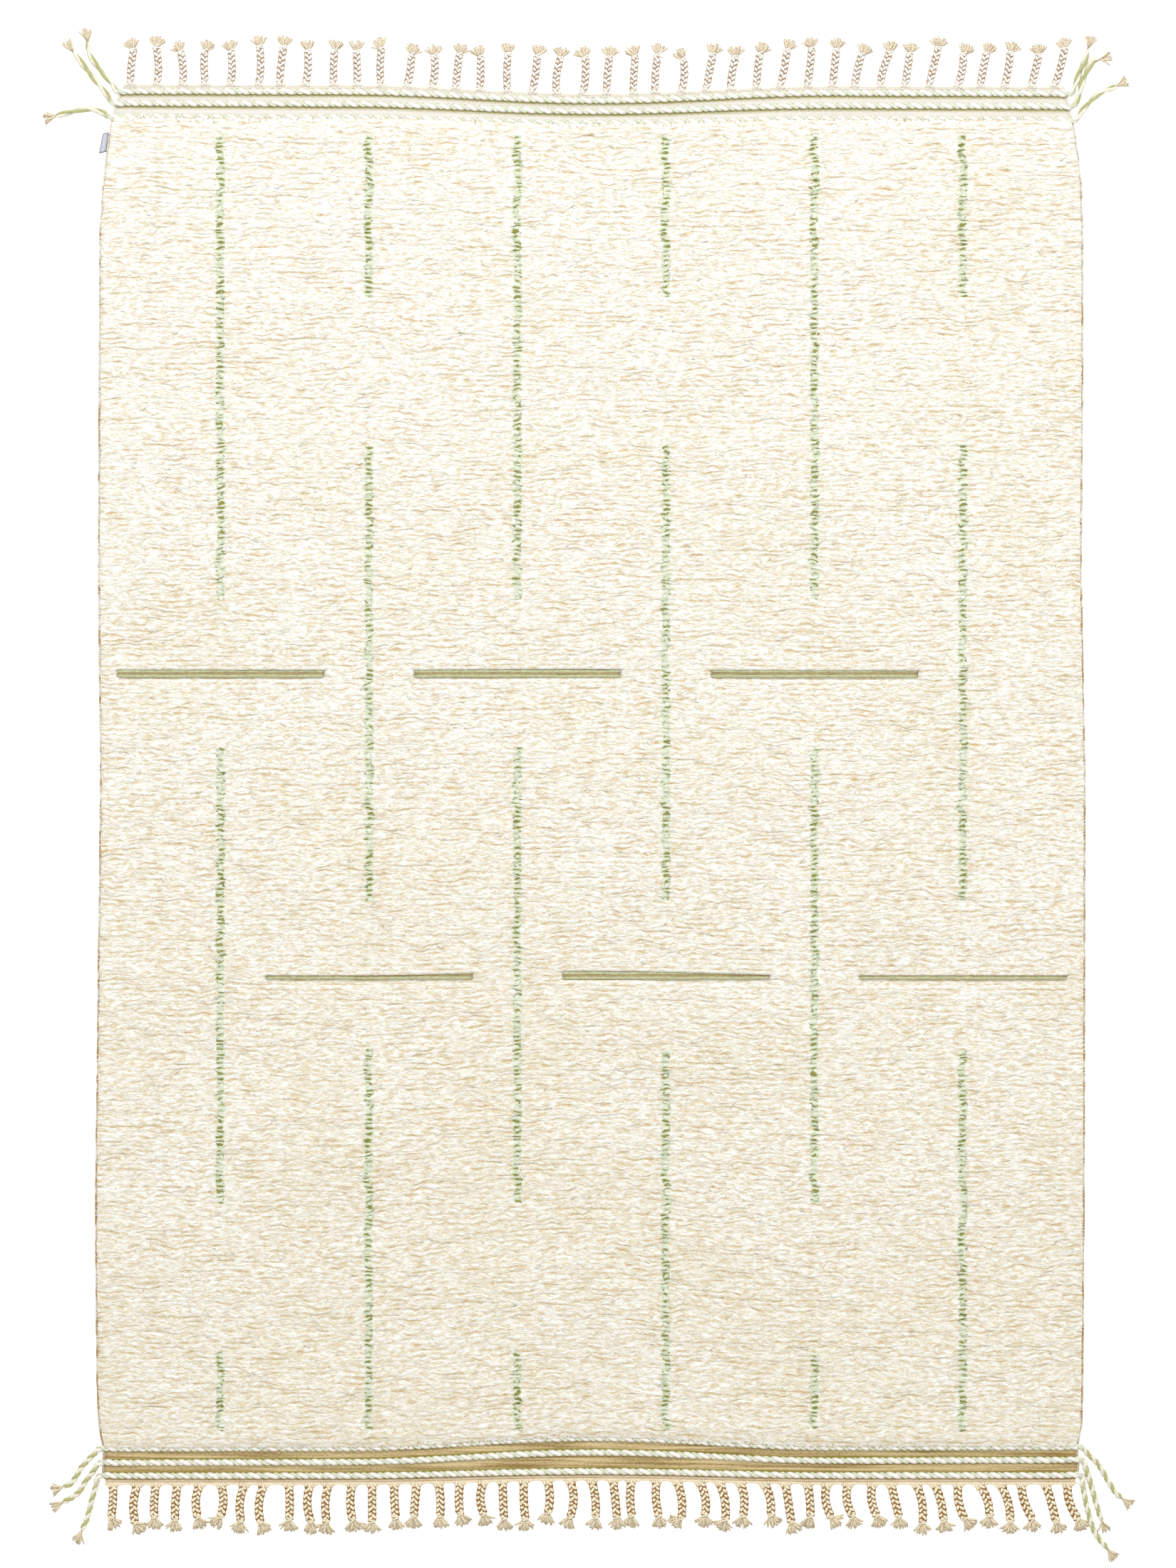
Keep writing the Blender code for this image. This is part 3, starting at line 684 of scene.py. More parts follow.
def build_kilim(end, finish):
    """The flat-woven band between strip and pile: ribs of weft along it, each a low arch, sunk at its rims.

    Its line mark is 1 beside each cord row, on the pile's side of it, and falls off over the reach of line.
    """
    size = FRINGES_MM[end]
    x = np.concatenate(((-1,), np.linspace(-0.9992, 0.9992, 219), (1,)))
    share = np.linspace(0, 1, 2 * KILIM_RIBS + 1)[:, None]
    nominal = x[None] * KILIM_HALF_MM * MM
    start, stop = strip_inner_y(nominal, end), pile_foot_y(nominal, end) - size["side"] * 5 * MM
    y = start + (stop - start) * share
    y = y + 0.5 * MM * noise(51, nominal, share * 10, 60 * MM, 1)
    left, right = edge_x(y, -1) + KILIM_RIM, edge_x(y, 1) - KILIM_RIM
    across = left + (right - left) * (x[None] + 1) / 2
    rib = np.where(np.arange(len(share)) % 2, 0.55, -0.15)[:, None]
    z = KILIM_THICK + (rib + 0.25 * noise(52, across, share * KILIM_RIBS, 9 * MM, 1)) * MM
    z[:, (0, -1)] = 1 * MM
    inwards = np.array([size["side"] * (row_y(nominal, end, row) - y) - CORD_WIDE / 2 for row in (1, 2, 3)])
    line = (1.0 - inwards / (size["line"] * MM)).clip(0, 1.1)
    line = np.where(inwards > -3 * MM, line, 0).max(axis=0)
    shape = ribbon(stack(across, y, z), uv=stack(across, y), line=line)
    return add_piece(f"kilim_{end}", shape, finish, "cream_wool", "rug_cloth")


def smooth_route(points, step):
    """Points a step apart on a curve that passes through each given point (Catmull-Rom)."""
    points = np.vstack((2 * points[0] - points[1], points, 2 * points[-1] - points[-2]))
    route = []
    for i in range(1, len(points) - 2):
        a, b, c, d = points[i - 1 : i + 3]
        t = np.arange(max(1, round(np.linalg.norm(c - b) / step)))[:, None]
        t = t / len(t)
        bend = (2 * a - 5 * b + 4 * c - d) * t**2 + (3 * b - a - 3 * c + d) * t**3
        route.append(b + ((c - a) * t + bend) / 2)
    return np.vstack(route + [points[-2:-1]])


def cord_route(end, row):
    """The cord's middle line seen from above, how far each point is past the edge, and its length so far."""
    tails = []
    for side, steps in zip((-1, 1), CORDS_MM[end, row][1:]):
        y = row_end_y(end, row, side)
        edge = np.array((edge_x(y, side), y))
        inside = edge[0] - side * 32 * MM
        leaves = edge + (side * 5 * MM, 0)
        places = ((inside, row_y(inside, end, row)), leaves, edge + np.array(steps) * MM)
        tails.append(smooth_route(np.vstack(places), CORD_STATION))
    left, right = tails
    xs = np.linspace(left[0][0], right[0][0], round((right[0][0] - left[0][0]) / CORD_STATION) + 1)[1:-1]
    route = np.vstack((left[::-1], stack(xs, row_y(xs, end, row)), right))
    past = np.maximum(edge_x(route[:, 1], -1) - route[:, 0], route[:, 0] - edge_x(route[:, 1], 1))
    return route, past, np.append(0, np.cumsum(np.linalg.norm(np.diff(route, axis=0), axis=1)))


def build_cord(end, row, finish, tuft_finish):
    """Two strands, cream and sage, laid round each other: each a flattened helix about the cord's route.

    Across, a strand stands cos(turn) off the route, and upwards sin(turn), with half a turn between the two.
    Past the edge the cord drops from the kilim to the floor and is thinner. The tufts at its two tips are a
    piece of their own.
    """
    route, past, length = cord_route(end, row)
    free = ease((past - 2 * MM) / (16 * MM))
    level = (KILIM_THICK + GAP + 2.6 * MM) * (1 - free) + 4.1 * MM * free
    along = unit(np.gradient(route, axis=0))
    across = stack(along[:, 1], -along[:, 0])
    thin = 1 - 0.04 * free
    turns = np.cumsum(np.gradient(length) / (CORD_PITCH + FRINGES_MM[end]["slack"] * MM * free))
    turn = -TURN * (turns + 0.3 * ripple(65, length, 90 * MM)) + row
    ends = 0.35 + 0.65 * ease(np.minimum(length, length[-1] - length) / (8 * MM))
    size = thin * (1 + 0.10 * ripple(61 + row, length, 40 * MM)) * ends
    paths, sizes, under = [], [], []
    for strand, values in enumerate(STRANDS_MM):
        reach, rise, wide, high = ((bound + (loose - bound) * free) * MM for bound, loose in values)
        phase = turn + np.pi * strand
        flat = route + across * (reach * thin * np.cos(phase))[:, None]
        paths.append(raised(flat, level + rise * thin * np.sin(phase)))
        sizes.append((wide * size, high * size))
        # Painted shade where a strand goes below the other
        under.append((0.1 - 0.8 * np.sin(phase)).clip(0, 1))
    shape = tubes(np.array(paths), *np.array(sizes).transpose(1, 0, 2), 6, sage=np.array((0.0, 1.0)))
    shape[2]["under"] = np.repeat(np.ravel(under), 6)
    side_shade(shape, 6, 0.7)
    shape[2]["free"] = np.repeat(np.tile(free, 2), 6)
    tips = route[[0, -1]]
    away = tips - route[[3, -4]]
    tuft = tuft_shape(tips, np.arctan2(away[:, 1], away[:, 0]), 28 * MM, 0.40, 12, 71 + row, 3.4 * MM, 4.4)
    tuft[2]["loose"] = np.ones(len(tuft[0]))
    cord = f"twined_cord_{end}_{row}"
    return [
        add_piece(cord + "_yarn", shape, finish, "twined_yarn", cord),
        add_piece(cord + "_tufts", tuft, tuft_finish, "warp_cotton", cord),
    ]


def tuft_shape(tips, headings, length, spread, ends, seed, level, wide_mm):
    """A fan of yarn ends at each tip: tapering tubes whose headings are spread evenly and then by chance."""
    chance = np.random.default_rng(seed)
    count = len(tips)
    fan = np.linspace(-1, 1, ends) * spread + chance.normal(0, 0.07, (count, ends))
    reach = length * chance.uniform(0.82, 1.0, (count, ends, 1))
    share = np.array((0, 0.35, 0.7, 1.0))
    curl = chance.uniform(-0.25, 0.25, (count, ends, 1))
    ahead, aside = (way[:, :, None] for way in headed(headings[:, None] + fan))
    way = reach * share
    flat = tips[:, None, None] + ahead * way[..., None] + aside * (curl * way * share)[..., None]
    high = level + chance.uniform(-1.2, 1.4, (count, ends, 1)) * MM * (1 - 0.4 * share) - share * 0.8 * MM
    paths = raised(flat, np.maximum(high, 1.8 * MM)).reshape(-1, 4, 3)
    width = wide_mm * MM * np.array((0.8, 1.0, 1.1, 0.5)) * chance.uniform(0.8, 1.2, (count * ends, 1))
    # Each yarn end gets a random share of painted shade
    return tubes(paths, width, width * 0.5, 3, under=0.5 * chance.random(count * ends) ** 4)


# ---------------------------------------------------------------- fringes, edges and bars


def build_plaits(end, finish):
    """Three-strand plaits with gathered roots, a bound neck and a tuft.

    A strand stands sin(turn) across the plait and sin(2 turn) upwards, a third of a turn after the last one.
    At the root the strands spread out to a V along the strip, and each plait bends towards its tip.
    """
    size = FRINGES_MM[end]
    side, stout = size["side"], size["stout"]
    roots, leans, lengths = tassel_places(end)
    count = len(roots)
    chance = np.random.default_rng(size["seed"] + 80)
    share = np.linspace(0, PLAIT_SHARE, PLAIT_STATIONS)[None]
    start_y = strip_inner_y(roots, end) + side * (size["strip"] - 0.8) * MM
    sway = size["sway"] * chance.uniform(-1, 1, (count, 1)) * MM * np.sin(np.pi * share / PLAIT_SHARE)
    x = roots[:, None] + leans[:, None] * share**1.25 + sway
    middle = stack(x, start_y[:, None] + side * lengths[:, None] * share)
    along = unit(np.gradient(middle, axis=1))
    across = stack(along[:, :, 1], -along[:, :, 0])
    length = share * lengths[:, None]
    turn = TURN * length / (chance.uniform(27, 32, (count, 1)) * MM)
    gather = 1 - ease(length / (11 * MM))
    strands, under = [], []
    for k in range(3):
        phase = turn + TURN * k / 3
        aside = 5.3 * stout * np.sin(phase) * (1 - gather) + (k - 1) * 8.0 * gather * np.sign(across[:, :, 0])
        up = 4.7 + 1.9 * np.sin(2 * phase) * (1 - gather)
        # Painted shade where a strand dives under the others, a little at the gathered root
        under.append((1.05 - 1.6 * np.sin(2 * phase)).clip(0, 1) * (1 - gather) + 0.1 * gather)
        strands.append(raised(middle + across * (aside * MM)[..., None], up * MM))
    paths = np.stack(strands, 1).reshape(count * 3, -1, 3)
    wide = np.repeat(5.9 * stout * MM * (1 - 0.35 * gather), 3, axis=0)
    plaits = tubes(paths, wide, wide * 0.8, 6)
    plaits[2]["under"] = np.repeat(np.stack(under, 1).ravel(), 6)
    side_shade(plaits, 6, 1.0, 1.15)
    tips = middle[:, -1]
    heading = np.arctan2(along[:, -1, 1], along[:, -1, 0])
    tuft_turn = heading + chance.normal(0, 0.3, count)
    tufts = tuft_shape(tips, tuft_turn, 24 * stout * MM, 0.74, 18, size["seed"], 4.0 * MM, 4.8 * stout)
    necks = neck_shape(tips, heading, chance)
    fans = root_shape(middle[:, 0], np.diff(roots).mean(), side)
    for shape, value in ((plaits, 0.0), (necks, 0.25), (fans, 0.5), (tufts, 1.0)):
        shape[2]["loose"] = np.full(len(shape[0]), value)
        # Pieces without their own painted shade get a little
        shape[2].setdefault("under", np.full(len(shape[0]), 0.1))
    shape = join((plaits, necks, fans, tufts))
    return add_piece(f"plaited_fringe_{end}", shape, finish, "warp_cotton", f"fringe_{end}")


def root_shape(places, pitch, side):
    """The warps that gather into each plait: a low fan, as broad as the pitch at the strip and drawn in.

    Its breadth falls with a power of what is left of its length, so an arch stands between two plaits.
    """
    share = np.linspace(0, 1, 6)[None]
    breadth = 13 * MM + (pitch - 12 * MM) * (1 - share) ** 2.2
    y = places[:, 1:2] + side * (-1.5 + 17 * share) * MM
    shape = tubes(stack(places[:, 0:1], y, (2.7 + 1.2 * share) * MM), breadth, (3.6 + 0.8 * share) * MM, 14)
    # Painted shade on every other corner, in lines between the gathered warps
    shape[2]["under"] = np.tile(np.where(np.arange(14) % 2, 0.35, 0.0), len(shape[0]) // 14)
    return shape


def neck_shape(tips, headings, chance):
    """Two turns of yarn round each neck: closed round-section rings square to the plait, a little askew."""
    stations, corners = 12, 5
    around = TURN * np.arange(stations)[None] / stations
    angle = TURN * np.arange(corners)[:, None] / corners
    ahead, aside = (way[:, None] for way in headed(headings))
    turns = []
    for back, tilt in ((1.5, 0.25), (-2.0, -0.3)):
        lean = tilt + chance.normal(0, 0.12, (len(tips), 1))
        across = NECK_HALF_WIDE * np.cos(around) + 0 * lean
        up = NECK_HALF_HIGH * np.sin(around) + 0 * lean
        flat = tips[:, None] + ahead * (lean * across - back * MM)[..., None] + aside * across[..., None]
        outwards = unit(stack(across, 3.2 * up))
        normal = raised(aside * outwards[..., :1], outwards[..., 1])[:, :, None]
        forwards = raised(ahead + 0 * flat, 0 * up)[:, :, None]
        ring = raised(flat, NECK_LEVEL + up)[:, :, None]
        turns.append(ring + NECK_YARN * (normal * np.cos(angle) + forwards * np.sin(angle)))
    points = np.concatenate(turns)
    points[..., 2] = np.maximum(points[..., 2], 0.2 * MM)
    each = stations * corners
    starts = np.arange(len(points))[:, None, None] * each
    faces = grid_faces(stations + 1, corners, around=True)[None] % each + starts
    uv = stack(np.arange(stations)[:, None] * 3.2 * MM, np.arange(corners)[None] / corners)
    uv = np.broadcast_to(uv, (len(points), *uv.shape))
    return points.reshape(-1, 3), [faces.reshape(-1, 4)], {"uv": uv.reshape(-1, 2)}


def build_strip(end, finish, edge_finish):
    """The end strip as a low ribbed band, and the twisted warp ends that gather along its outer side."""
    side, wide = FRINGES_MM[end]["side"], FRINGES_MM[end]["strip"]
    roots, _, _ = tassel_places(end)
    x = np.linspace(roots[0] - 15 * MM, roots[-1] + 15 * MM, 260)[None]
    across, high, pale = np.array(STRIP_PROFILE).T[:, :, None]
    y = strip_inner_y(x, end) + side * across * wide * MM
    z = high * MM + 0.2 * MM * noise(91, x, across * 4, 8 * MM, 1) * (high > 1)
    pale = pale + 0.35 * noise(93, x, across * 3, 22 * MM, 1)
    shape = ribbon(stack(x, y, z), uv=stack(x, y), line=pale.clip(0, 1))
    strip = add_piece(f"end_strip_{end}", shape, finish, "wrapped_edge", f"fringe_{end}")
    xs = np.linspace(roots[0] - 14 * MM, roots[-1] + 14 * MM, 520)
    line = strip_inner_y(xs, end) + side * (wide - 0.6) * MM
    turn = TURN * xs / (13 * MM) + 2 * ripple(92, xs, 60 * MM) + np.array(((0,), (np.pi,)))
    paths = stack(xs, line + 1.3 * MM * np.cos(turn), (3.3 + 1.1 * np.sin(turn)) * MM)
    # Its under mark is a little painted shade
    shape = tubes(paths, 3.0 * MM, 2.8 * MM, 5, loose=0.5, under=0.3)
    return strip, add_piece(f"warp_edge_{end}", shape, edge_finish, "warp_cotton", f"fringe_{end}")


def build_selvedge(name, side, finish):
    """Yarn wrapped over the side edge: a tube whose width swells and shrinks by noise from wrap to wrap.

    Its pale mark is 1 beside the top end, a third beside the bottom one, and comes and goes between them.
    """
    y = np.arange(row_end_y("top", 3, side) + 5.5 * MM, row_end_y("bottom", 3, side) - 5.5 * MM, -4 * MM)
    lump = 1 + 0.16 * ripple(95 + side, y, 9 * MM)
    paths = stack(edge_x(y, side) - side * 2.3 * MM, y, 2.15 * MM * lump)[None]
    shape = tubes(paths, 5.6 * MM * lump[None], 4.2 * MM * lump[None], 6)
    broken = ease(0.55 + 0.25 * y + ripple(97 + side, y, 15 * MM))
    ends = ease((y - 1330 * MM) / (12 * MM)), 0.35 * ease((-1315 * MM - y) / (12 * MM))
    shape[2]["pale"] = np.repeat(np.max((*ends, broken), axis=0), 6)
    # A little painted shade all along
    shape[2]["under"] = np.full(len(shape[0]), 0.1)
    return add_piece(name + "_yarn", shape, finish, "wrapped_edge", name)


def build_bars(olive, brown):
    """The flat-woven bars in their grooves: two low olive cords with a thin brown ribbon between them."""
    along = np.linspace(-BAR_HALF_LONG_MM, BAR_HALF_LONG_MM, 71)
    taper = 0.3 + 0.7 * ease((BAR_HALF_LONG_MM - abs(along)) / 8)
    made = []
    for name, lines, finish, slot in (
        ("bar_olive_cords", ((4.7, 6.4, 4.4), (-4.5, 6.6, 4.6)), olive, "twined_yarn"),
        ("bar_brown_middles", ((0.1, 4.4, 3.4),), brown, "wrapped_edge"),
    ):
        paths, sizes = [], []
        for k, (bar_x, bar_y) in enumerate(BARS_MM):
            for middle, wide, high in lines:
                places = along + 500 * k, along * 0 + middle
                wave, lump = noise(101, *places, 40, 1), noise(102, *places, 7, 1)
                level = GROOVE_FLOOR / MM + 1.2 + high * 0.5
                paths.append(stack(bar_x + along, bar_y + middle + 0.6 * wave, level) * MM)
                size = taper * (1 + 0.14 * lump) * MM
                sizes.append((wide * size, high * size))
        shape = tubes(np.array(paths), *np.array(sizes).transpose(1, 0, 2), 6)
        made.append(add_piece(name, shape, finish, slot, "rug_cloth"))
    return made


def build_tab(finish):
    """A blank folded tape beyond the left edge: a flat rounded section along a slightly turned line."""
    share = np.linspace(0, 1, 9)[:, None]
    x_along, y_along = -976.5 - 4.5 * share, 1325.0 - 39.0 * share
    section = (0, 0.05), (0.5, 0.05), (0.94, 0.1), (1.0, 0.6), (0.94, 1.15), (0.5, 1.2), (0, 1.2)
    out, up = np.array(section).T
    reach = (12 + 3 * share) * out
    points = stack(x_along - reach, y_along - reach * 0.25, up) * MM
    rows, around = points.shape[:2]
    cap = np.arange(around)[None]
    faces = [grid_faces(rows, around, around=True), cap[:, ::-1], cap + (rows - 1) * around]
    shape = points.reshape(-1, 3), faces, {"uv": stack(out, share).reshape(-1, 2)}
    return add_piece("blank_tab", shape, finish, "blank_tape", "label_tab")


# ---------------------------------------------------------------- materials


class Nodes:
    """Short names for putting nodes in a shader tree. An input is a value or the socket that feeds it."""

    def __init__(self, tree):
        self.tree = tree

    def add(self, kind, inputs=None, **settings):
        """Adds a node and gives its outputs. inputs are by socket name or number."""
        made = self.tree.nodes.new("ShaderNode" + kind)
        for key, value in settings.items():
            setattr(made, key, value)
        for key, value in (inputs or {}).items():
            if isinstance(value, bpy.types.NodeSocket):
                self.tree.links.new(value, made.inputs[key])
            else:
                made.inputs[key].default_value = value
        return made.outputs

    def effect(self, group, **inputs):
        """Places a node group."""
        return self.add("Group", inputs, node_tree=group)

    def maths(self, operation, *values):
        """A Math node over one to three values."""
        return self.add("Math", dict(enumerate(values)), operation=operation)[0]

    def times(self, first, second, plus=None):
        """first times second, plus the third."""
        if plus is None:
            return self.maths("MULTIPLY", first, second)
        return self.maths("MULTIPLY_ADD", first, second, plus)

    def span(self, value, low, high, to_low=0.0, to_high=1.0):
        """value carried from one range to another, and held at its ends."""
        return self.add("MapRange", {0: value, 1: low, 2: high, 3: to_low, 4: to_high})[0]

    def blend(self, share, first, second, how="MIX"):
        """A colour Mix. Plain colours are given as three numbers."""
        first, second = ((*c, 1) if isinstance(c, tuple) else c for c in (first, second))
        return self.add("Mix", {0: share, 6: first, 7: second}, data_type="RGBA", blend_type=how)[2]

    def mark(self, name):
        """The value of one of the mesh's marks."""
        return self.add("Attribute", attribute_name=name)["Fac"]

    def place(self, kind="Object"):
        """Where a point is: Object or UV coordinates."""
        return self.add("TexCoord")[kind]

    def split(self, vector):
        """A vector's three numbers."""
        return self.add("SeparateXYZ", {0: vector})

    def noise(self, place, scale, detail, distortion=0.0):
        """Noise about 0 to 1, with scale repeats a metre."""
        inputs = {"Vector": place, "Scale": scale, "Detail": detail, "Distortion": distortion}
        return self.add("TexNoise", inputs)[0]

    def stretched_noise(self, place, sizes, detail, distortion, turn=0.0):
        """Noise with its own repeats a metre along each axis, turned about Z."""
        if turn:
            place = self.add("VectorRotate", {"Vector": place, "Angle": turn}, rotation_type="Z_AXIS")[0]
        place = self.add("VectorMath", {0: place, 1: sizes}, operation="MULTIPLY")[0]
        return self.noise(place, 1.0, detail, distortion)


def effect(name, outputs, **inputs):
    """A new node group that takes a vector and floats: its Nodes, its given sockets and those it puts out."""
    tree = bpy.data.node_groups.new(name, "ShaderNodeTree")
    tree.interface.new_socket("Vector", in_out="INPUT", socket_type="NodeSocketVector")
    for label, value in inputs.items():
        tree.interface.new_socket(label, in_out="INPUT", socket_type="NodeSocketFloat").default_value = value
    for label in outputs:
        tree.interface.new_socket(label, in_out="OUTPUT", socket_type="NodeSocketFloat")
    return Nodes(tree), tree.nodes.new("NodeGroupInput").outputs, tree.nodes.new("NodeGroupOutput").inputs


def fuzz_effect():
    """Fibres: noise drawn out along the first axis. Strand is coarse, Fibre is fine, both about 0 to 1."""
    nodes, given, put = effect("yarn fuzz", ("Strand", "Fibre"), Along=60.0, Across=500.0)
    for label, grow, detail in (("Strand", 1.0, 2.0), ("Fibre", 3.1, 3.0)):
        along, across = (nodes.times(given[key], grow) for key in ("Along", "Across"))
        size = nodes.add("CombineXYZ", {0: along, 1: across, 2: across})[0]
        nodes.tree.links.new(nodes.stretched_noise(given["Vector"], size, detail, 0.6), put[label])
    return nodes.tree


def ply_effect():
    """Plies of a yarn: ridges that turn round it, a rounded sine of turns along it plus turns around it."""
    nodes, given, put = effect("plied yarn", ("Ridge",), Turns=200.0, Plies=2.0)
    along, around, _ = nodes.split(given["Vector"])
    angle = nodes.times(nodes.times(around, given["Plies"], nodes.times(along, given["Turns"])), TURN)
    wave = nodes.times(nodes.maths("SINE", angle), 0.5, 0.5)
    nodes.tree.links.new(nodes.maths("POWER", wave, 0.6), put["Ridge"])
    return nodes.tree


def weave_effect():
    """Weft-faced weave: beads in rows along x, each row half a bead on from the last. Bead is 1 on top.

    It is the size of a sine along the row times a sine across it. Beads and Rows are how many to a metre.
    """
    nodes, given, put = effect("weft weave", ("Bead",), Beads=300.0, Rows=600.0)
    x, y, _ = nodes.split(given["Vector"])
    rows = nodes.times(y, given["Rows"])
    along = nodes.times(nodes.maths("FLOOR", rows), 0.5, nodes.times(x, given["Beads"]))
    bump_x = nodes.maths("ABSOLUTE", nodes.maths("SINE", nodes.times(along, np.pi)))
    bump_y = nodes.maths("SINE", nodes.times(nodes.maths("FRACT", rows), np.pi))
    nodes.tree.links.new(nodes.times(bump_x, bump_y), put["Bead"])
    return nodes.tree


def start_material(name, roughness, sheen):
    """A cloth material, its Nodes and its Principled shader's inputs."""
    made = bpy.data.materials.new(name)
    made.use_nodes = True
    shader = made.node_tree.nodes["Principled BSDF"].inputs
    shader["Roughness"].default_value = roughness
    shader["Sheen Weight"].default_value = sheen
    shader["Sheen Roughness"].default_value = 0.5
    shader["Specular IOR Level"].default_value = 0.2
    return made, Nodes(made.node_tree), shader


def finish_material(nodes, shader, colour, height, strength, distance):
    """Feeds the shader its colour and a bump from height."""
    nodes.tree.links.new(colour, shader["Base Color"])
    bump = nodes.add("Bump", {"Height": height, "Strength": strength, "Distance": distance})
    nodes.tree.links.new(bump[0], shader["Normal"])


def pile_material(fuzz):
    """Cream wool: two creams in patches, curly tan stroke marks of painted shadow, painted warm shade in the
    creases, fine fibres, and sage where marked, with olive painted shade in its creases. Painted light
    whitens the cream towards the top end.

    Each stroke mark is where a stretched, warped noise is near its middle value, so they run as broken curls.
    """
    made, nodes, shader = start_material("cream_wool_pile", 0.92, 0.05)
    times, span, blend = nodes.times, nodes.span, nodes.blend
    place, rows = nodes.place(), nodes.place("UV")
    strand, fibre = nodes.effect(fuzz, Vector=place, Along=95.0, Across=230.0)
    deep = nodes.mark("deep")
    patches = nodes.noise(place, 3.2, 3.0)
    flecks = nodes.stretched_noise(rows, (62.0, 270.0, 1.0), 2.0, 0.9)
    # y rises towards the top end, where the lamp is, and drives painted light in the cream
    far = nodes.split(place)[1]
    # Tone: random patches and flecks, with painted light rising towards the top end and painted shade in the
    # creases
    tone = times(far, 0.032, times(deep, -0.10, times(flecks, 0.75, times(patches, 0.25))))
    cream = blend(span(tone, 0.39, 0.56), CREAM_LOW, CREAM_HIGH)
    curls = []
    for turn in (0.30, -0.26):
        curl = nodes.stretched_noise(place, (45.0, 160.0, 60.0), 2.0, 1.0, turn)
        away = nodes.maths("ABSOLUTE", nodes.maths("SUBTRACT", curl, 0.5))
        curls.append(span(away, 0.0, 0.055, 1.0, 0.0))
    # Painted shadow curls go where the flecks are low, thinning out towards the top end as painted light
    where = span(times(far, 0.022, flecks), 0.415, 0.555, 1.0, 0.0)
    shadow_strokes = times(nodes.maths("MAXIMUM", *curls), where)
    cream = blend(shadow_strokes, cream, STROKE_SHADE_TAN)
    cream = blend(span(fibre, 0.40, 0.66, 0.0, 0.30), cream, CREAM_FIBRE)
    # Painted warm shade in the creases, uneven along the strands
    crease = times(nodes.maths("POWER", deep, 1.8), span(strand, 0.36, 0.54, 0.25))
    cream = blend(crease, cream, CREASE_SHADE_TAN)
    sage = blend(span(strand, 0.40, 0.60), SAGE_DEEP, SAGE_PALE)
    torn = times(strand, 2.4, -1.2)
    dyed = span(times(nodes.mark("sage"), 1.5, torn), 0.50, 0.95, 0.0, 0.9)
    # Painted olive shade at the creases of the sage lines
    dash = span(times(torn, 0.6, nodes.mark("dash")), 0.31, 0.53)
    colour = blend(dash, blend(dyed, cream, sage), OLIVE_SHADE)
    tufts = nodes.stretched_noise(rows, (70.0, 190.0, 1.0), 2.0, 1.2)
    height = times(shadow_strokes, -0.25, times(tufts, 1.2, times(fibre, 0.22, times(strand, 0.45))))
    finish_material(nodes, shader, colour, height, 0.65, 3.0 * MM)
    return made


def yarn_material(
    name, fuzz, ply, dyes, low, by_mark=None, turns=230.0, free_dyes=None, by_under_shade=0.8, between=0.08,
    shadow=(0.1, 1.0),
):
    """Plied yarn between two dyes by a mark, with painted shade between its plies and where it goes under."""
    made, nodes, shader = start_material(name, 0.88, 0.12)
    ridge = nodes.effect(ply, Vector=nodes.place("UV"), Turns=turns, Plies=2.0)[0]
    strand, fibre = nodes.effect(fuzz, Vector=nodes.place(), Along=150.0, Across=260.0)
    if free_dyes:
        dyes = [nodes.blend(nodes.mark("free"), *pair) for pair in zip(dyes, free_dyes)]
    colour = nodes.blend(nodes.mark(by_mark) if by_mark else strand, *dyes)
    fade = nodes.span(strand, 0.35, 0.65, 0.90, 1.08)
    colour = nodes.blend(1.0, colour, nodes.add("CombineColor", {0: fade, 1: fade, 2: fade})[0], "MULTIPLY")
    # Painted shade in the colour low: between the plies, and where a mark is given also by the under mark
    painted_shade = nodes.times(nodes.maths("SUBTRACT", 1.0, ridge), between)
    if by_mark:
        painted_shade = nodes.times(nodes.span(nodes.mark("under"), *shadow), by_under_shade, painted_shade)
    colour = nodes.blend(painted_shade, colour, low)
    finish_material(nodes, shader, colour, nodes.times(fibre, 0.35, ridge), 0.7, 1.0 * MM)
    return made


def weave_material(name, fuzz, weave, dyes, low, third, by_mark="line", beads=430.0, rows=760.0):
    """Weft-faced weave in two yarns that come and go in long streaks and specks, painted shade between its
    beads.
    """
    made, nodes, shader = start_material(name, 0.9, 0.04)
    place = nodes.place()
    bead = nodes.effect(weave, Vector=place, Beads=beads, Rows=rows)[0]
    streak = nodes.effect(fuzz, Vector=place, Along=5.0, Across=210.0)["Strand"]
    specks = nodes.effect(fuzz, Vector=place, Along=170.0, Across=240.0)["Fibre"]
    mixed = nodes.times(streak, 0.5, nodes.times(specks, 0.5))
    colour = nodes.blend(nodes.span(mixed, 0.42, 0.57), *dyes)
    spread = nodes.maths("ADD", nodes.mark(by_mark), nodes.times(specks, 1.8, -0.9))
    colour = nodes.blend(nodes.span(spread, 0.30, 0.85), colour, third)
    # Painted shade between the beads, in the colour low
    colour = nodes.blend(nodes.span(bead, 0.0, 0.55, 0.40, 0.0), colour, low)
    finish_material(nodes, shader, colour, nodes.times(specks, 0.8, bead), 0.6, 0.8 * MM)
    return made


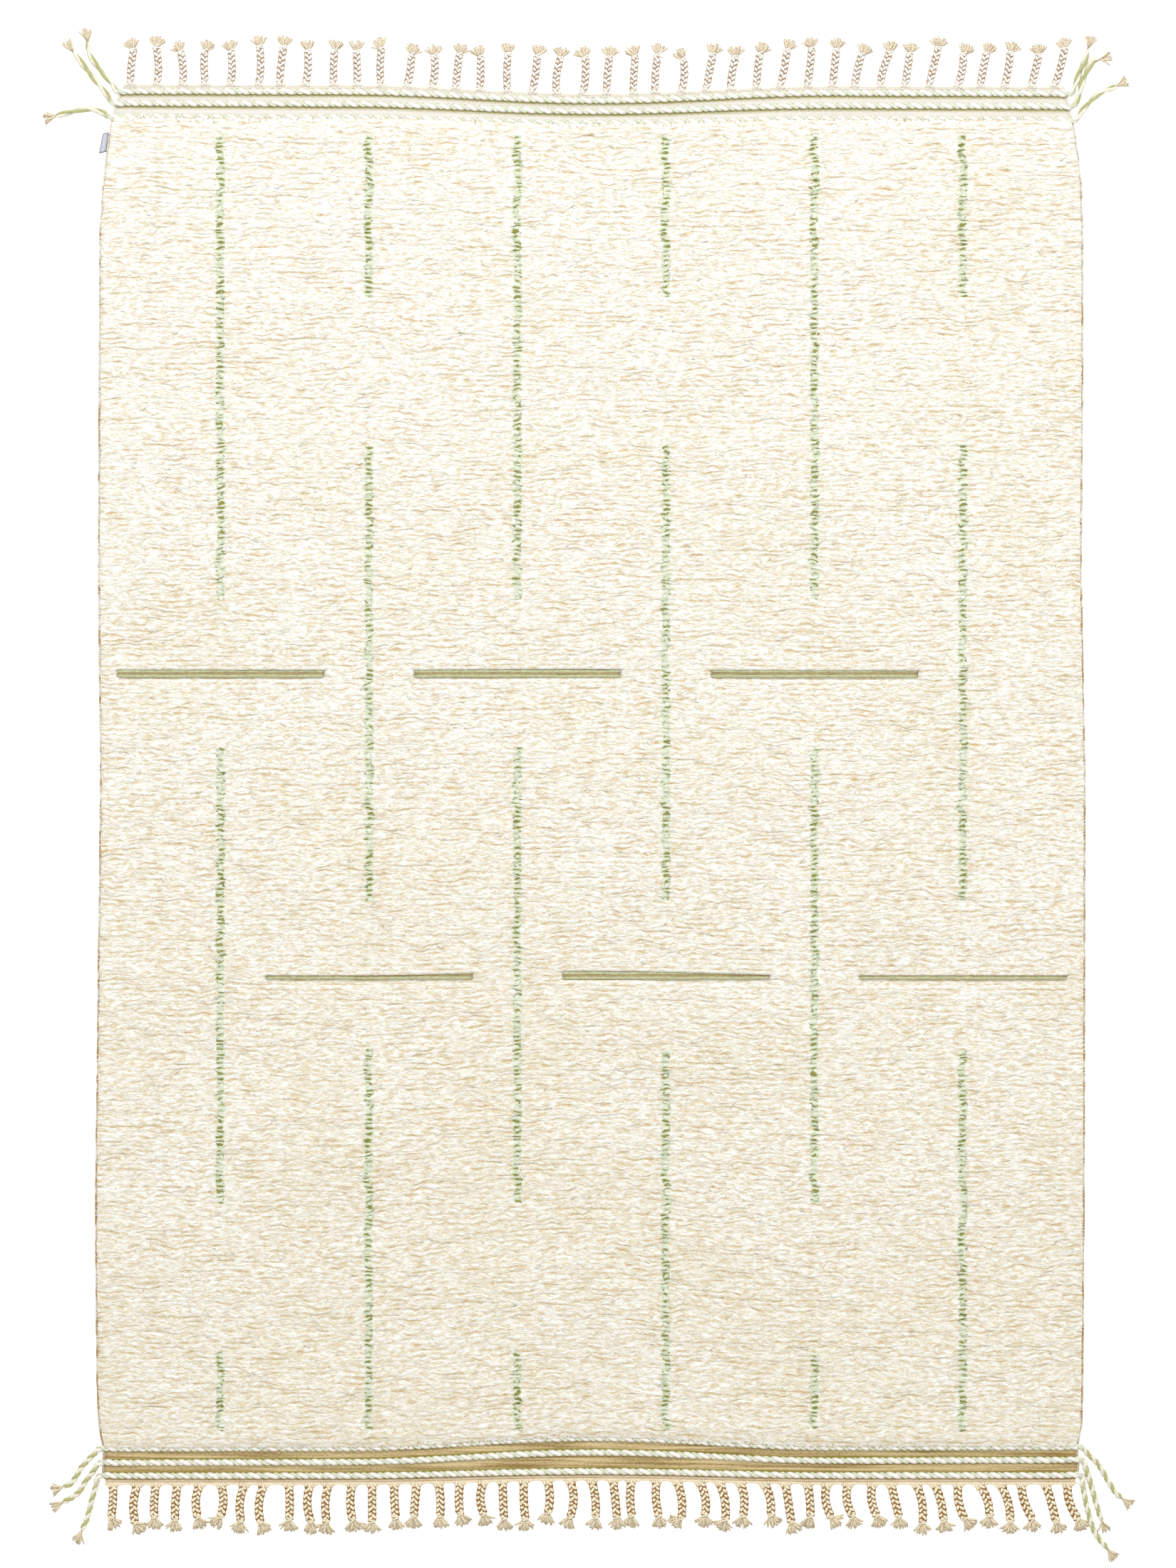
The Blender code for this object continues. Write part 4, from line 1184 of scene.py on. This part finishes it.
def tape_material(fuzz, weave):
    """A pale woven tape with a darker line round its border."""
    made, nodes, shader = start_material("blank_tape", 0.7, 0.05)
    out, along, _ = nodes.split(nodes.place("UV"))
    edges = [nodes.maths("MINIMUM", way, nodes.maths("SUBTRACT", 1.0, way)) for way in (out, along)]
    near = nodes.maths("MINIMUM", nodes.times(edges[0], 14.0), nodes.times(edges[1], 40.0))
    bead = nodes.effect(weave, Vector=nodes.place(), Beads=900.0, Rows=1500.0)[0]
    tone = nodes.effect(fuzz, Vector=nodes.place(), Along=90.0, Across=200.0)["Strand"]
    colour = nodes.blend(tone, (0.46, 0.48, 0.56), (0.62, 0.64, 0.72))
    colour = nodes.blend(nodes.span(near, 1.2, 1.8, 1.0, 0.0), colour, (0.10, 0.11, 0.15))
    finish_material(nodes, shader, colour, bead, 0.3, 0.3 * MM)
    return made


# ---------------------------------------------------------------- stage

FLOOR_LEVEL = -0.4 * MM
FRAME_HEIGHT = 3.168  # metres in the picture from top to bottom, at the rug
LENS_MM, SENSOR_MM = 150, 36


def build_stage():
    """A plain pale floor, a soft lamp beyond the top end, an even light all round, a camera from above."""
    scene = bpy.context.scene
    made, nodes, shader = start_material("pale_floor", 0.9, 0.0)
    grain = nodes.noise(nodes.place(), 40.0, 2.0)
    nodes.tree.links.new(nodes.blend(grain, (0.93, 0.93, 0.925), (0.95, 0.95, 0.945)), shader["Base Color"])
    shader["Emission Color"].default_value = (1, 1, 1, 1)
    shader["Emission Strength"].default_value = 0.45
    mesh = bpy.data.meshes.new("floor")
    corners = ((-30, -30), (30, -30), (30, 30), (-30, 30))
    mesh.from_pydata([(x, y, FLOOR_LEVEL) for x, y in corners], [], [(0, 1, 2, 3)])
    mesh.materials.append(made)
    floor = bpy.data.objects.new("floor", mesh)
    scene.collection.objects.link(floor)

    world = bpy.data.worlds.new("studio")
    world.use_nodes = True
    fill = world.node_tree.nodes["Background"].inputs
    fill[0].default_value = (1.0, 0.985, 0.960, 1)
    fill[1].default_value = 0.815
    scene.world = world
    lamp = bpy.data.lights.new("window_light", "AREA")
    lamp.shape = "RECTANGLE"
    lamp.size, lamp.size_y = 5.0, 2.6
    lamp.energy = 725
    lamp.color = (0.965, 0.985, 1.0)
    placed = bpy.data.objects.new("window_light", lamp)
    placed.location = (0.0, 8.0, 8.8)
    placed.rotation_euler = (np.radians(-42), 0, 0)
    scene.collection.objects.link(placed)

    lens = bpy.data.cameras.new("camera")
    lens.lens = LENS_MM
    lens.sensor_width = SENSOR_MM
    lens.clip_end = 60
    camera = bpy.data.objects.new("camera", lens)
    camera.location = (-0.00307, 0.01992, 0.012 + FRAME_HEIGHT * LENS_MM / SENSOR_MM)
    scene.collection.objects.link(camera)
    scene.camera = camera
    scene.view_settings.view_transform = "Standard"
    scene.view_settings.look = "None"
    scene.view_settings.exposure = 0.0


# ---------------------------------------------------------------- the rug


def main():
    """Makes the materials, every piece and the stage."""
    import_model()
    fuzz, ply, weave = fuzz_effect(), ply_effect(), weave_effect()
    wool = pile_material(fuzz)
    yarns = {name: yarn_material(name, fuzz, ply, **values) for name, values in YARNS.items()}
    weaves = {name: weave_material(name, fuzz, weave, **values) for name, values in WEAVES.items()}

    cloth = build_ground(weaves["ground_weave"])
    on_it = build_pile(wool)
    on_it.append(build_wisps(wool))
    # The top end's kilim is the khaki weave painted paler, as painted light
    for end, band, strip, cotton in (
        ("top", "kilim_lit_pale", "strip_pale", "plaited_pale_cotton"),
        ("bottom", "kilim_khaki", "strip_brown", "plaited_cotton"),
    ):
        on_it.append(build_kilim(end, weaves[band]))
        on_it += build_strip(end, weaves[strip], yarns[cotton])
        on_it.append(build_plaits(end, yarns[cotton]))
    for end, row in CORDS_MM:
        on_it += build_cord(end, row, yarns["twined_yarn"], yarns["plaited_cotton"])
    on_it.append(build_selvedge("selvedge_left", -1, yarns["wrapped_edge"]))
    on_it.append(build_selvedge("selvedge_right", 1, yarns["wrapped_edge"]))
    on_it += build_bars(yarns["bar_olive"], yarns["bar_brown"])
    on_it.append(build_tab(tape_material(fuzz, weave)))
    build_stage()


main()
